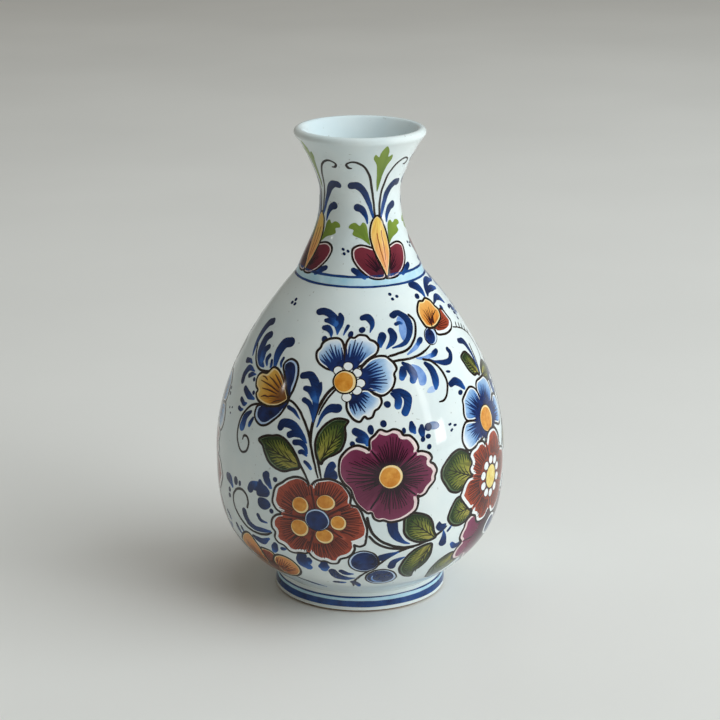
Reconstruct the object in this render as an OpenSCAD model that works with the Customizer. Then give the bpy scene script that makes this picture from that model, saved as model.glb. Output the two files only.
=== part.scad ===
// Hand-painted bottle vase: glazed earthenware with a round belly, a narrow waisted neck,
// a flared lip and a bare foot ring. Millimetres, +Z up, origin on the table under the axis.

/* [Overall] */
// Height from the table to the top of the lip
height = 180; // [172:1:200]
// Thickness of the wall, clay and both glazes together
wall = 3.6; // [3:0.2:4.4]
// Thickness of each coat of glaze
glaze = 0.35; // [0.2:0.05:0.6]
// Height of a painted line above the glaze
paint = 0.06; // [0.04:0.01:0.1]

/* [Foot] */
// Diameter of the foot ring at its widest, just above the table
foot_d = 66; // [62:0.5:70]
// Diameter of the crease where the foot meets the belly
crease_d = 64; // [60:0.5:68]
// Height of that crease
crease_z = 7.5; // [6.5:0.5:9]
// Height of the bare clay edge that the vase rests on
bare_h = 0.9; // [0.6:0.1:1.5]
// Width of the flat that touches the table
rest_w = 4; // [3:0.5:5]
// Height of the recess under the floor, at its rim
recess_h = 5; // [4.6:0.2:5.4]
// Rise of the floor's underside from that rim to the axis
recess_dome = 0.4; // [0:0.1:0.8]
// Taper of the foot: its edge and its inner side step in by this much
foot_taper = 0.8; // [0.4:0.1:1.2]

/* [Belly] */
// Diameter of the belly at its widest
belly_d = 110.4; // [100:0.4:120]
// Height of the widest place
belly_z = 56; // [50:1:62]
// Thickness of the floor, with its glazes
floor_t = 4.8; // [4:0.2:6]

/* [Shoulder and neck] */
// Diameter at the kink where the neck is joined on
shoulder_d = 48; // [44:0.5:52]
// Height of the kink
shoulder_z = 125.5; // [120:0.5:130]
// Diameter of the neck at its waist
waist_d = 30; // [28:0.5:34]
// Height of the waist
waist_z = 156.5; // [150:0.5:160]
// Diameter of the lip at its widest
lip_d = 49; // [44:0.5:54]

/* [Slopes of the side] */
// Slope of the belly where it leaves the foot
foot_slope = 36; // [30:1:42]
// Slope of the belly where it reaches the kink
shoulder_slope = 131; // [125:1:135]
// Slope of the neck where it leaves the kink
neck_slope = 112; // [106:1:118]
// Slope of the neck where it runs into the lip
lip_slope = 49; // [42:1:58]

/* [Painted rings] */
// Height of the middle of the lower shoulder line
shoulder_line_z = 125.2; // [124:0.1:126]
// Distance from the lower shoulder line up to the upper one
shoulder_line_gap = 3.4; // [2.4:0.1:5]
// Height of the shoulder lines themselves
shoulder_line_h = 0.9; // [0.5:0.1:1.4]
// Lower edge of the wide blue band on the foot
foot_band_z = 2.1; // [1.8:0.1:2.4]
// Height of the wide blue band
foot_band_h = 2.4; // [1.8:0.1:2.6]
// Middle of the thin blue line on the foot
foot_line_z = 5.9; // [5.6:0.1:6.2]
// Height of the thin blue line
foot_line_h = 0.6; // [0.4:0.1:0.8]

/* [Hidden] */
$fn = 96;
STEPS = 12;      // straight pieces in each curve of the side
LIP_STEPS = 12;  // straight pieces round the lip

// How far each curve of the side runs straight from its ends before it bends
FOOT_SIDE_PULL = [3, 2];
FOOT_PULL = 27;
BELLY_PULL = [23.5, 31.5];
SHOULDER_PULL = [13.5, 16.5];
WAIST_PULL = [14, 5];
LIP_PULL = 5;
UP = 90;
FOOT_LEAN = 95;  // slope of the foot's side where it reaches the crease

// A round lip as thick as the wall
lip_r = wall / 2;
lip_mid = [lip_d / 2 - lip_r, height - lip_r];

// Angles round the lip: from the outside, over the top, to the inside
lip_out = lip_slope - 90;
lip_in = lip_slope + 90;

// A point at a distance and an angle, as [radius, height]
function polar(length, angle) = length * [cos(angle), sin(angle)];

// A cubic curve from a to b that leaves along one slope and arrives along another
function bend(a, pull_a, slope_a, b, pull_b, slope_b) =
    let (p = a + polar(pull_a, slope_a), q = b - polar(pull_b, slope_b))
    [for (i = [0:STEPS]) let (t = i / STEPS, u = 1 - t)
        u * u * u * a + 3 * u * u * t * p + 3 * u * t * t * q + t * t * t * b];

function without_first(list) = [for (i = [1:len(list) - 1]) list[i]];
function backwards(list) = [for (i = [len(list) - 1:-1:0]) list[i]];

// The side of the vase as [radius, height], from the table up
table = [foot_d / 2 - foot_taper, 0];
edge = [foot_d / 2, bare_h];
crease = [crease_d / 2, crease_z];
widest = [belly_d / 2, belly_z];
kink = [shoulder_d / 2, shoulder_z];
waist = [waist_d / 2, waist_z];
lip = lip_mid + polar(lip_r, lip_out);

foot_side = bend(edge, FOOT_SIDE_PULL[0], UP, crease, FOOT_SIDE_PULL[1], FOOT_LEAN);
belly_side = concat(
    bend(crease, FOOT_PULL, foot_slope, widest, BELLY_PULL[0], UP),
    without_first(bend(widest, BELLY_PULL[1], UP, kink, SHOULDER_PULL[0], shoulder_slope)));
neck_side = concat(
    bend(kink, SHOULDER_PULL[1], neck_slope, waist, WAIST_PULL[0], UP),
    without_first(bend(waist, WAIST_PULL[1], UP, lip, LIP_PULL, lip_slope)));

side = concat(foot_side, without_first(belly_side), without_first(neck_side));
CREASE = STEPS;
KINK = 3 * STEPS;
LIP = 5 * STEPS;

// Direction into the wall at point i of the side
function inward(i) =
    let (run = side[min(i + 1, LIP)] - side[max(i - 1, 0)])
    [-run[1], run[0]] / norm(run);

// Points first to last of the side, moved into the wall by depth
function layer(first, last, depth) = [for (i = [first:last]) side[i] + depth * inward(i)];

// The round lip at a depth below its surface, from one angle to another
function lip_arc(depth, from, to) =
    [for (i = [0:LIP_STEPS]) lip_mid + polar(lip_r - depth, from + (to - from) * i / LIP_STEPS)];

// The faces of the clay under the two coats of glaze
clay_out = glaze;
clay_in = wall - glaze;

// The foot ring's inner side, and the underside of the floor, which is slightly domed
foot_in = [table[0] - rest_w, 0];
foot_in_top = [foot_in[0] - foot_taper, recess_h];
foot_in_bare = foot_in + (foot_in_top - foot_in) * bare_h / recess_h;
floor_under = [0, recess_h + recess_dome];
floor_top = floor_under[1] + floor_t;

module turned(outline) {
    rotate_extrude() polygon(outline);
}

// Bare clay ring that the vase stands on, joined under the belly
module foot_ring() {
    color("tan")
        turned(concat([foot_in, table], layer(0, CREASE, clay_out), [foot_in_top]));
}

// Clay bowl and shoulder, from the floor to the kink
module belly() {
    color("linen")
        turned(concat(
            [floor_under, foot_in_top],
            layer(CREASE, KINK, clay_out),
            backwards(layer(CREASE, KINK, clay_in)),
            [[0, floor_top - glaze]]));
}

// Clay neck, joined on at the kink and rolled over into the lip
module neck() {
    color("linen")
        turned(concat(
            layer(KINK, LIP, clay_out),
            lip_arc(clay_out, lip_out, lip_in),
            backwards(layer(KINK, LIP, clay_in))));
}

// White glaze on the outside, from the bare edge of the foot over the top of the lip
module outer_glaze() {
    color("aliceblue")
        turned(concat(
            layer(0, LIP, 0),
            lip_arc(0, lip_out, UP),
            lip_arc(clay_out, UP, lip_out),
            backwards(layer(0, LIP, clay_out))));
}

// Glaze that lines the mouth, the neck and the water space
module inner_glaze() {
    color("azure")
        turned(concat(
            [[0, floor_top - glaze]],
            layer(CREASE, LIP, clay_in),
            lip_arc(clay_out, lip_in, UP),
            lip_arc(0, UP, lip_in),
            backwards(layer(CREASE, LIP, wall)),
            [[0, floor_top]]));
}

// Glaze in the recess under the floor
module base_glaze() {
    color("azure")
        turned([
            floor_under,
            floor_under - [0, glaze],
            foot_in_top - [glaze, glaze],
            foot_in_bare - [glaze, 0],
            foot_in_bare,
            foot_in_top]);
}

// Radius of the outside at a height
function side_r(z) = lookup(z, [for (p = side) [p[1], p[0]]]);

// A painted ring from z0 to z1, a little proud of the glaze
module painted_ring(z0, z1, proud) {
    heights = concat([z0], [for (p = side) if (p[1] > z0 && p[1] < z1) p[1]], [z1]);
    turned(concat(
        [for (z = heights) [side_r(z) + proud, z]],
        [for (z = backwards(heights)) [side_r(z), z]]));
}

module shoulder_line(z) {
    color("midnightblue")
        painted_ring(z - shoulder_line_h / 2, z + shoulder_line_h / 2, paint);
}

module shoulder_line_lower() {
    shoulder_line(shoulder_line_z);
}

module shoulder_line_upper() {
    shoulder_line(shoulder_line_z + shoulder_line_gap);
}

// Thin blue wash between the two shoulder lines
module shoulder_wash() {
    color("lightblue")
        painted_ring(
            shoulder_line_z + shoulder_line_h / 2,
            shoulder_line_z + shoulder_line_gap - shoulder_line_h / 2,
            paint / 2);
}

module foot_band() {
    color("navy")
        painted_ring(foot_band_z, foot_band_z + foot_band_h, paint);
}

module foot_line() {
    color("midnightblue")
        painted_ring(foot_line_z - foot_line_h / 2, foot_line_z + foot_line_h / 2, paint);
}

// Thin blue wash between the band and the line
module foot_wash() {
    color("lightblue")
        painted_ring(foot_band_z + foot_band_h, foot_line_z - foot_line_h / 2, paint / 2);
}

foot_ring();
belly();
neck();
outer_glaze();
inner_glaze();
base_glaze();
shoulder_line_lower();
shoulder_line_upper();
shoulder_wash();
foot_band();
foot_line();
foot_wash();
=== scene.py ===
"""Hand-painted bottle vase: smooth glazed surfaces and the painted flowers on them.

The clay and the glazes are lathes of one curved side. Every painted shape is drawn in
millimetres on a flat sheet anchored at an angle and a height on the vase, then wrapped on to
the glaze as a thin closed relief. x runs round the vase to the right as seen from outside,
y runs up along its side.
"""
import math
import random

import bpy
import numpy as np
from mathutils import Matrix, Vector, noise
from mathutils.geometry import delaunay_2d_cdt


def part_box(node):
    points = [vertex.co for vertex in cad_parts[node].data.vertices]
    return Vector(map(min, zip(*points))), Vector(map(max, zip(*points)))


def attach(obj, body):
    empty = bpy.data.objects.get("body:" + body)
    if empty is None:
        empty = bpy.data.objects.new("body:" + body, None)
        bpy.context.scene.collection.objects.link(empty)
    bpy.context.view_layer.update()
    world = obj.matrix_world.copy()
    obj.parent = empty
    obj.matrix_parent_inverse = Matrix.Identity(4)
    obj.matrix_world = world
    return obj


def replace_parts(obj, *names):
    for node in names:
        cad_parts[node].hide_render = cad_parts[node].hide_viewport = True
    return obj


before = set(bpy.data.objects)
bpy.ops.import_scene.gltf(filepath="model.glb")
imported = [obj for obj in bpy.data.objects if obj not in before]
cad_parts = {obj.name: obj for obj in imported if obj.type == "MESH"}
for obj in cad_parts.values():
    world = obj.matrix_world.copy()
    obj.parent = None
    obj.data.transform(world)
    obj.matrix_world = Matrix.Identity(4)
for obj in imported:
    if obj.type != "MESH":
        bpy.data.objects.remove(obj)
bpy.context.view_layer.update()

MM = 0.001

# ------------------------------------------------ the side of the vase, in mm and degrees

HEIGHT = round(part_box("outer_glaze")[1][2] / MM, 2)
WALL = 3.6
GLAZE = 0.35
BARE_H = 0.9                  # the glaze starts this far above the table
FOOT_R = 33.0
FOOT_TAPER = 0.8
CREASE = (32.0, 7.5)          # (radius, height) where the foot meets the belly
WIDEST = (55.2, 56.0)
KINK = (24.0, 125.5)          # where the belly meets the neck
WAIST = (15.0, 156.5)
LIP_OUTER_R = 24.5
LIP_R = WALL / 2
LIP_MID = np.array([LIP_OUTER_R - LIP_R, HEIGHT - LIP_R])
UP = 90                       # slopes of the side, of which 90 is straight up
FOOT_LEAN = 95
FOOT_SLOPE = 36
SHOULDER_SLOPE = 131
NECK_SLOPE = 112
LIP_SLOPE = 49
FOOT_SIDE_PULL = (3, 2)       # how far each curve holds to the slope at its two ends
BELLY_PULL = (27, 23.5)
SHOULDER_PULL = (31.5, 13.5)
NECK_PULL = (16.5, 14)
LIP_PULL = (5, 5)
STEPS = 160                   # straight pieces in each curve of the side
FLOOR_UNDER = 5.4             # underside of the floor at the axis
FLOOR_TOP = 10.2              # glazed top of the floor
RECESS_R = 28.2               # inner edge of the flat that touches the table
RECESS_H = 5.0
WORN_OUT = [(-0.5, 0.0), (-0.1, 0.12), (0.2, 0.45)]    # the foot's outer edge, worn round
WORN_IN = [(0.0, 0.5), (0.12, 0.15), (0.5, 0.0)]       # and its inner edge
POOLED = [(0.6, 0.0), (0.17, 0.2), (0.0, 0.6)]         # glaze in the corner of the recess
DROP_H = 0.15                 # the round end of that glaze above the bare clay


def polar(length, angle):
    """The point at a length and an angle from the origin."""
    return np.array([math.cos(math.radians(angle)), math.sin(math.radians(angle))]) * length


def bend(a, slope_a, b, slope_b, pulls):
    """A cubic curve from a to b that leaves along one slope and arrives along another."""
    a, b = np.array(a, float), np.array(b, float)
    p, q = a + polar(pulls[0], slope_a), b - polar(pulls[1], slope_b)
    t = np.linspace(0, 1, STEPS + 1)[:, None]
    u = 1 - t
    return u**3 * a + 3 * u * u * t * p + 3 * u * t * t * q + t**3 * b


SIDE = np.vstack([
    bend((FOOT_R, BARE_H), UP, CREASE, FOOT_LEAN, FOOT_SIDE_PULL),
    bend(CREASE, FOOT_SLOPE, WIDEST, UP, BELLY_PULL)[1:],
    bend(WIDEST, UP, KINK, SHOULDER_SLOPE, SHOULDER_PULL)[1:],
    bend(KINK, NECK_SLOPE, WAIST, UP, NECK_PULL)[1:],
    bend(WAIST, UP, LIP_MID + polar(LIP_R, LIP_SLOPE - 90), LIP_SLOPE, LIP_PULL)[1:]])
ALONG = np.concatenate([[0], np.cumsum(np.linalg.norm(np.diff(SIDE, axis=0), axis=1))])
INWARD = np.gradient(SIDE, axis=0)[:, ::-1] * [-1, 1]
INWARD /= np.linalg.norm(INWARD, axis=1)[:, None]
CREASE_I, LAST = STEPS, len(SIDE) - 1


def along_at(z):
    """Distance along the side at a height."""
    return float(np.interp(z, SIDE[:, 1], ALONG))


def side_at(s):
    """Radius, height and outward normal (r, z) at distances along the side."""
    r, z = np.interp(s, ALONG, SIDE[:, 0]), np.interp(s, ALONG, SIDE[:, 1])
    n = np.stack([-np.interp(s, ALONG, INWARD[:, 0]), -np.interp(s, ALONG, INWARD[:, 1])], -1)
    return r, z, n / np.linalg.norm(n, axis=-1)[..., None]


# ---------------------------------------------------------------- materials

IOR = 1.48
GLAZE_ROUGH = 0.07
PAINT_ROUGH = 0.1
CLAY_ROUGH = 0.85
TABLE_ROUGH = 0.45
DRIFT = 0.22          # how far the run of a petal's colour wanders, of its length


def material(name, roughness):
    """A material with its node tree and its shader."""
    mat = bpy.data.materials.new(name)
    mat.use_nodes = True
    shader = mat.node_tree.nodes["Principled BSDF"]
    shader.inputs["Roughness"].default_value = roughness
    shader.inputs["IOR"].default_value = IOR
    return mat, mat.node_tree, shader


def node(tree, kind, **values):
    """A new node: inputs are set by name, and anything else as a property."""
    made = tree.nodes.new("ShaderNode" + kind)
    for key, value in values.items():
        if key in made.inputs:
            made.inputs[key].default_value = value
        else:
            setattr(made, key, value)
    return made


def feed(tree, inputs, values):
    """Sets inputs in turn: each value is a socket, a hex colour, or a number or vector."""
    for socket, value in zip(inputs, values):
        if isinstance(value, bpy.types.NodeSocket):
            tree.links.new(value, socket)
        else:
            socket.default_value = (*srgb(value), 1) if isinstance(value, str) else value


def srgb(text):
    """Linear colour from a hex code."""
    parts = [int(text[i:i + 2], 16) / 255 for i in (0, 2, 4)]
    return tuple(c / 12.92 if c < 0.04045 else ((c + 0.055) / 1.055) ** 2.4 for c in parts)


def ramp(tree, fac, stops):
    """A colour ramp through (place, hex colour) stops."""
    made = tree.nodes.new("ShaderNodeValToRGB")
    band = made.color_ramp.elements
    while len(band) < len(stops):
        band.new(0.5)
    for element, (place, colour) in zip(band, stops):
        element.position = place
        element.color = (*srgb(colour), 1)
    tree.links.new(fac, made.inputs["Fac"])
    return made.outputs["Color"]


def noise_at(tree, scale, detail, rough=0.5, vector=None):
    """Noise over the object's own coordinates, in metres, or over another vector."""
    made = node(tree, "TexNoise", Scale=scale, Detail=detail, Roughness=rough)
    vector = vector or node(tree, "TexCoord").outputs["Object"]
    tree.links.new(vector, made.inputs["Vector"])
    return made.outputs["Fac"]


def maths(tree, operation, *values):
    """The result of a sum over sockets and numbers."""
    made = node(tree, "Math", operation=operation)
    feed(tree, made.inputs, values)
    return made.outputs[0]


def mix(tree, fac, a, b):
    """Colour mix: each of a and b is a socket or a hex code."""
    made = node(tree, "Mix", data_type="RGBA")
    feed(tree, (made.inputs[0], made.inputs[6], made.inputs[7]), (fac, a, b))
    return made.outputs[2]


def stretch(tree, fac, low, high, to_low=0.0, to_high=1.0):
    """Maps low to high on to another range, and holds what lies beyond at its ends."""
    made = node(tree, "MapRange")
    feed(tree, made.inputs, (fac, low, high, to_low, to_high))
    return made.outputs[0]


def bump(tree, shader, height, strength, distance):
    """Bends the surface's normals by a height."""
    made = node(tree, "Bump", Strength=strength, Distance=distance)
    tree.links.new(height, made.inputs["Height"])
    tree.links.new(made.outputs["Normal"], shader.inputs["Normal"])


def glaze_white(name, tint, deep, speck):
    """Tin glaze: bluish white, cloudy, a little uneven, with iron specks."""
    mat, tree, shader = material(name, GLAZE_ROUGH)
    cloud = stretch(tree, noise_at(tree, 38.0, 3.0), 0.35, 0.7)
    fleck = stretch(tree, noise_at(tree, 900.0, 0.0), 0.8, 0.86, 0.0, 0.5)
    colour = mix(tree, fleck, mix(tree, cloud, tint, deep), speck)
    tree.links.new(colour, shader.inputs["Base Color"])
    bump(tree, shader, noise_at(tree, 90.0, 1.0), 0.02, 0.002)
    return mat


def clay_material():
    """Bare buff clay: sandy, with darker rubbed grit."""
    mat, tree, shader = material("bare_clay", CLAY_ROUGH)
    grain = stretch(tree, noise_at(tree, 1400.0, 4.0), 0.35, 0.7)
    stain = stretch(tree, noise_at(tree, 60.0, 2.0), 0.45, 0.7)
    colour = mix(tree, stain, mix(tree, grain, "a98a68", "6f5540"), "8a6f55")
    tree.links.new(colour, shader.inputs["Base Color"])
    bump(tree, shader, grain, 0.4, 0.0002)
    return mat


def brushed(name, thin, full, scale=260.0):
    """Flat brush colour: pools of full colour between thinner places."""
    mat, tree, shader = material("paint_" + name, PAINT_ROUGH)
    pool = stretch(tree, noise_at(tree, scale, 3.0, 0.6), 0.3, 0.68)
    tree.links.new(mix(tree, pool, thin, full), shader.inputs["Base Color"])
    return mat


def petal(name, stops, streak, across, depth, reach):
    """Petal colour from the heart (0) to the rim (1), with fine brush streaks along it.

    The painted shapes carry a "brush" coordinate: x along the stroke, y across it. The
    streaks are strongest at the first end of reach and gone at its second.
    """
    mat, tree, shader = material("paint_" + name, PAINT_ROUGH)
    brush = node(tree, "Attribute", attribute_name="brush").outputs["Vector"]
    split = node(tree, "SeparateXYZ")
    tree.links.new(brush, split.inputs[0])
    drifted = maths(tree, "MULTIPLY_ADD", noise_at(tree, 300.0, 2.0), DRIFT, split.outputs[0])
    place = maths(tree, "SUBTRACT", drifted, DRIFT / 2)
    squeeze = node(tree, "VectorMath", operation="MULTIPLY")
    feed(tree, squeeze.inputs, (brush, (2.0, across, 1.0)))
    hair = stretch(tree, noise_at(tree, 1.0, 1.5, vector=squeeze.outputs[0]), 0.46, 0.6)
    fade = stretch(tree, place, reach[1], reach[0], 0.0, depth)
    colour = mix(tree, maths(tree, "MULTIPLY", hair, fade), ramp(tree, place, stops), streak)
    tree.links.new(colour, shader.inputs["Base Color"])
    return mat


# Flat colours: where the paint is thin, where it is full, and the scale of its pools.
FLAT = {
    "ink": ("2a1c17", "130c0a", 500.0), "navy": ("10306c", "041236"),
    "sky": ("86a9dc", "557fc6"), "haze": ("c9dcee", "a9c2e8"), "slate": ("6f8ab0", "44608c"),
    "rim": ("eef0ee", "dfe6e8"), "pink_rim": ("efe0dd", "dcc3c4"),
    "orange": ("dfa040", "c67a20", 400.0), "cream": ("f3dfae", "e9cb88", 400.0),
    "yellow": ("ead98c", "d8bb52", 400.0), "umber": ("8a3f1c", "602610", 500.0),
    "moss": ("66785a", "354c32"), "vein": ("33331d", "1d2012", 500.0),
    "wine": ("2a0a1e", "180512", 500.0), "maroon": ("4c1811", "300c09", 500.0),
    "rust": ("a4551f", "7a3512", 500.0),
}
# Running colours: stops from heart to rim, then the streaks' colour, fineness, depth and reach.
RUNNING = {
    "cobalt": ([(0.0, "021f4c"), (0.45, "073068"), (0.85, "164a90"), (1.0, "2a62aa")],
               "03153a", 8.0, 0.6, (0.3, 1.1)),
    "plum": ([(0.0, "4a1732"), (0.35, "5e1d3b"), (0.75, "702a49"), (1.0, "823d5c")],
             "3a1026", 34.0, 0.4, (0.3, 0.9)),
    "cherry": ([(0.0, "4a1a30"), (0.5, "66202f"), (1.0, "792c3a")],
               "3d1220", 12.0, 0.5, (0.3, 1.0)),
    "brick": ([(0.0, "742a1c"), (0.5, "8e381f"), (0.85, "a2432b"), (1.0, "b1533c")],
              "5e2216", 40.0, 0.5, (0.9, 1.3)),
    "blue": ([(0.0, "06123c"), (0.2, "123070"), (0.38, "4a7cbc"), (0.56, "7aa4d4"),
              (0.76, "a8c6e3"), (0.95, "e2eaf0")], "123070", 30.0, 0.6, (0.35, 0.85)),
    "leaf": ([(0.0, "a69a4c"), (0.35, "8a8a3a"), (0.65, "5c682a"), (0.92, "24401c")],
             "243214", 6.0, 0.55, (0.2, 1.0)),
    "sprig": ([(0.0, "6a8230"), (0.6, "879e42"), (1.0, "a2b854")],
              "53702a", 4.0, 0.4, (0.2, 1.0)),
    "gold": ([(0.0, "7a4a17"), (0.35, "c98a2c"), (0.7, "dfae4e"), (1.0, "d8c07c")],
             "5a3212", 12.0, 0.5, (0.2, 0.8)),
    "amber": ([(0.0, "b0581f"), (0.4, "d98a35"), (1.0, "e8b465")],
              "8a3d18", 10.0, 0.5, (0.2, 0.9)),
    "copper": ([(0.0, "8e3f1a"), (0.4, "bf6c2e"), (1.0, "dc9a5a")],
               "7c3414", 10.0, 0.5, (0.2, 0.9)),
    "nectar": ([(0.0, "efd25c"), (0.35, "f0c46c"), (0.7, "eda668"), (1.0, "e39a63")],
               "d98e46", 10.0, 0.5, (0.3, 1.0)),
    "fern": ([(0.0, "424a1c"), (0.35, "1f3516"), (1.0, "0f2212")],
             "0f2212", 6.0, 0.5, (0.2, 1.0)),
}
PAINT = {name: brushed(name, *row) for name, row in FLAT.items()}
PAINT.update({name: petal(name, *row) for name, row in RUNNING.items()})

OUTER = glaze_white("glaze_outer", "e3ebea", "d5e2e4", "8c8f88")
INNER = glaze_white("glaze_inner", "dfeaec", "cfe0e6", "9aa09c")
CLAY = clay_material()
BLUE_LINE = brushed("ring", "1b4a8c", "0a2858", 160.0)
BLUE_WASH = brushed("wash", "c4e2ee", "a4d0e4", 160.0)


# ---------------------------------------------------------------- round bodies

TURNS = 320           # straight pieces round a lathe
LAYER_STEP = 4        # points of the side that a lathe takes one of
SHARP = 35            # folds sharper than this many degrees stay hard


def add_mesh(name, verts, faces, mat, normals=None, brush=None):
    """A piece from points in mm, with a normal for every face corner if they are given."""
    mesh = bpy.data.meshes.new(name)
    mesh.from_pydata((np.asarray(verts) * MM).tolist(), [], faces)
    mesh.shade_smooth()
    mesh.update()
    if normals is not None:
        mesh.normals_split_custom_set(normals)
    if brush is not None:
        coordinate = mesh.attributes.new("brush", "FLOAT_VECTOR", "POINT")
        coordinate.data.foreach_set("vector", np.asarray(brush, np.float32).ravel())
    mesh.materials.append(mat)
    piece = bpy.data.objects.new(name, mesh)
    bpy.context.collection.objects.link(piece)
    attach(piece, "root")
    return piece


def sharpen(piece, limit):
    """Keeps creases sharper than the limit, in degrees, as hard edges."""
    piece.data.set_sharp_from_angle(angle=math.radians(limit))


def turned_row(r, z, turns):
    """Points in mm right round the vase, from the front to the right."""
    angle = np.arange(turns) * 2 * math.pi / turns
    return np.stack([r * np.sin(angle), -r * np.cos(angle), np.full(turns, z)], -1)


def lathe(name, outline, mat):
    """Turns a closed outline of (r, z) points; one on the axis becomes a single point."""
    rows = [[(0, 0, z)] if r < 1e-6 else turned_row(r, z, TURNS) for r, z in outline]
    first = np.cumsum([0] + [len(row) for row in rows])
    faces = []
    for i, row in enumerate(rows):
        j = (i + 1) % len(rows)
        a, b, single, next_single = first[i], first[j], len(row) == 1, len(rows[j]) == 1
        if single and next_single:
            continue
        for k in range(TURNS):
            m = (k + 1) % TURNS
            if single:
                faces.append((a, b + m, b + k))
            elif next_single:
                faces.append((a + k, a + m, b))
            else:
                faces.append((a + k, a + m, b + m, b + k))
    return add_mesh(name, np.vstack(rows), faces, mat)


def layer(first, last, depth):
    """Points of the side from first to last, moved into the wall by a depth."""
    picks = sorted(set(list(range(first, last, LAYER_STEP)) + [last]))
    return SIDE[picks] + depth * INWARD[picks]


def lip_arc(depth, start, end, count=14):
    """Points round the lip between two angles, a depth below its surface."""
    return np.array([LIP_MID + polar(LIP_R - depth, a) for a in np.linspace(start, end, count)])


def body(cad_node, outline, mat):
    """A turned piece in the place of a CAD node."""
    piece = lathe("vase_" + cad_node, np.asarray(outline, float), mat)
    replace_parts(piece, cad_node)
    sharpen(piece, SHARP)


def outer_and_inner_glaze():
    """The two coats, which meet on the top of the lip."""
    out, into = LIP_SLOPE - 90, LIP_SLOPE + 90
    body("outer_glaze", np.vstack([
        layer(0, LAST, 0), lip_arc(0, out, UP)[1:],
        lip_arc(GLAZE, UP, out), layer(0, LAST, GLAZE)[::-1][1:]]), OUTER)
    body("inner_glaze", np.vstack([
        [[0, FLOOR_TOP - GLAZE]], layer(CREASE_I, LAST, WALL - GLAZE),
        lip_arc(GLAZE, into, UP)[1:], lip_arc(0, UP, into),
        layer(CREASE_I, LAST, WALL)[::-1][1:], [[0, FLOOR_TOP]]]), INNER)


def foot_and_recess():
    """The bare foot ring, and the glaze in the recess that it goes round."""
    top = (RECESS_R - FOOT_TAPER, RECESS_H)
    bare_r = RECESS_R - FOOT_TAPER * BARE_H / RECESS_H
    under = (top[0] - GLAZE, RECESS_H - GLAZE)
    body("base_glaze", [
        (0, FLOOR_UNDER), (0, FLOOR_UNDER - GLAZE),
        *[(under[0] - x, under[1] - z) for x, z in POOLED],
        (bare_r - GLAZE, BARE_H + DROP_H), (bare_r - GLAZE * 0.6, BARE_H), (bare_r, BARE_H), top],
        INNER)
    rim = FOOT_R - FOOT_TAPER
    body("foot_ring", np.vstack([
        [(rim + x, z) for x, z in WORN_OUT], layer(0, CREASE_I, GLAZE), [top],
        [(RECESS_R + x, z) for x, z in WORN_IN]]), CLAY)


def round_bodies():
    """The three glazes and the bare foot, with the CAD's own sizes, and clay on the rest."""
    outer_and_inner_glaze()
    foot_and_recess()
    for name in ("belly", "neck"):
        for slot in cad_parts[name].material_slots:
            slot.material = CLAY


# ---------------------------------------------------------------- drawing on the glaze, in mm

PROUD = 0.05          # height of the paint above the glaze
SUNK = 0.06           # depth of its underside in the glaze
CELL = 1.3            # spacing of the wrapped mesh between outlines
ROW = 0.87            # distance between its rows, of that spacing
MERGE = 1e-4          # points nearer than this are one
STEP = 0.5            # spacing of the points along an outline
FINEST = 0.08         # width of the finest stroke
UNSTEADY = 0.14       # how far a hand-held brush strays
WAVER = 0.35          # how fast it does so, per mm
FOLDED = 0.93         # an inset point nearer than this share of its depth has crossed over


def unit(vectors):
    """Each row brought to length one."""
    return vectors / np.maximum(np.linalg.norm(vectors, axis=1), 1e-9)[:, None]


def left_of(run):
    """Each (x, y) row turned a quarter turn to the left."""
    return np.stack([-run[:, 1], run[:, 0]], -1)


def signed_area(ring):
    """Positive for an anticlockwise ring."""
    x, y = ring[:, 0], ring[:, 1]
    return np.sum(x * np.roll(y, -1) - y * np.roll(x, -1)) / 2


def smooth_path(points, closed=False):
    """A Catmull-Rom curve through points of any width, at about one point a step."""
    pts = [np.array(p, float) for p in points]
    if closed:
        ring = [pts[-1]] + pts + pts[:2]
    else:
        ring = [2 * pts[0] - pts[1]] + pts + [2 * pts[-1] - pts[-2]]
    out = []
    for a, b, c, d in zip(ring, ring[1:], ring[2:], ring[3:]):
        count = max(2, int(math.ceil(np.linalg.norm((c - b)[:2]) / STEP)))
        for i in range(count):
            t = i / count
            out.append(0.5 * (2 * b + (c - a) * t + (2 * a - 5 * b + 4 * c - d) * t * t
                              + (3 * b - a - 3 * c + d) * t**3))
    if not closed:
        out.append(pts[-1])
    return np.array(out)


def round_end(centre, radius, side):
    """Half a circle from one side of a stroke to the other."""
    count = max(2, int(math.pi * radius / STEP))
    turn = math.atan2(side[1], side[0]) - np.linspace(0, math.pi, count + 2)[1:-1]
    return centre + radius * np.stack([np.cos(turn), np.sin(turn)], -1)


def stroke_outline(points):
    """The outline of a brush stroke through (x, y, width) points, with round ends."""
    path = smooth_path(points)
    xy, half = path[:, :2], np.maximum(path[:, 2], FINEST) / 2
    side = left_of(unit(np.gradient(xy, axis=0)))
    left, right = xy + side * half[:, None], xy - side * half[:, None]
    return np.vstack([left, round_end(xy[-1], half[-1], side[-1]),
                      right[::-1], round_end(xy[0], half[0], -side[0])])[::-1]


def inset(path, depth):
    """The closed path moved in by depth (out if negative), without its crossings."""
    xy = path[:, :2]
    inner = left_of(unit(np.roll(xy, -1, axis=0) - np.roll(xy, 1, axis=0)))
    shifted = xy + inner * (1 if signed_area(xy) > 0 else -1) * depth
    gap = np.min(np.linalg.norm(shifted[:, None] - xy[None], axis=-1), axis=1)
    return shifted[gap > abs(depth) * FOLDED]


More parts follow.
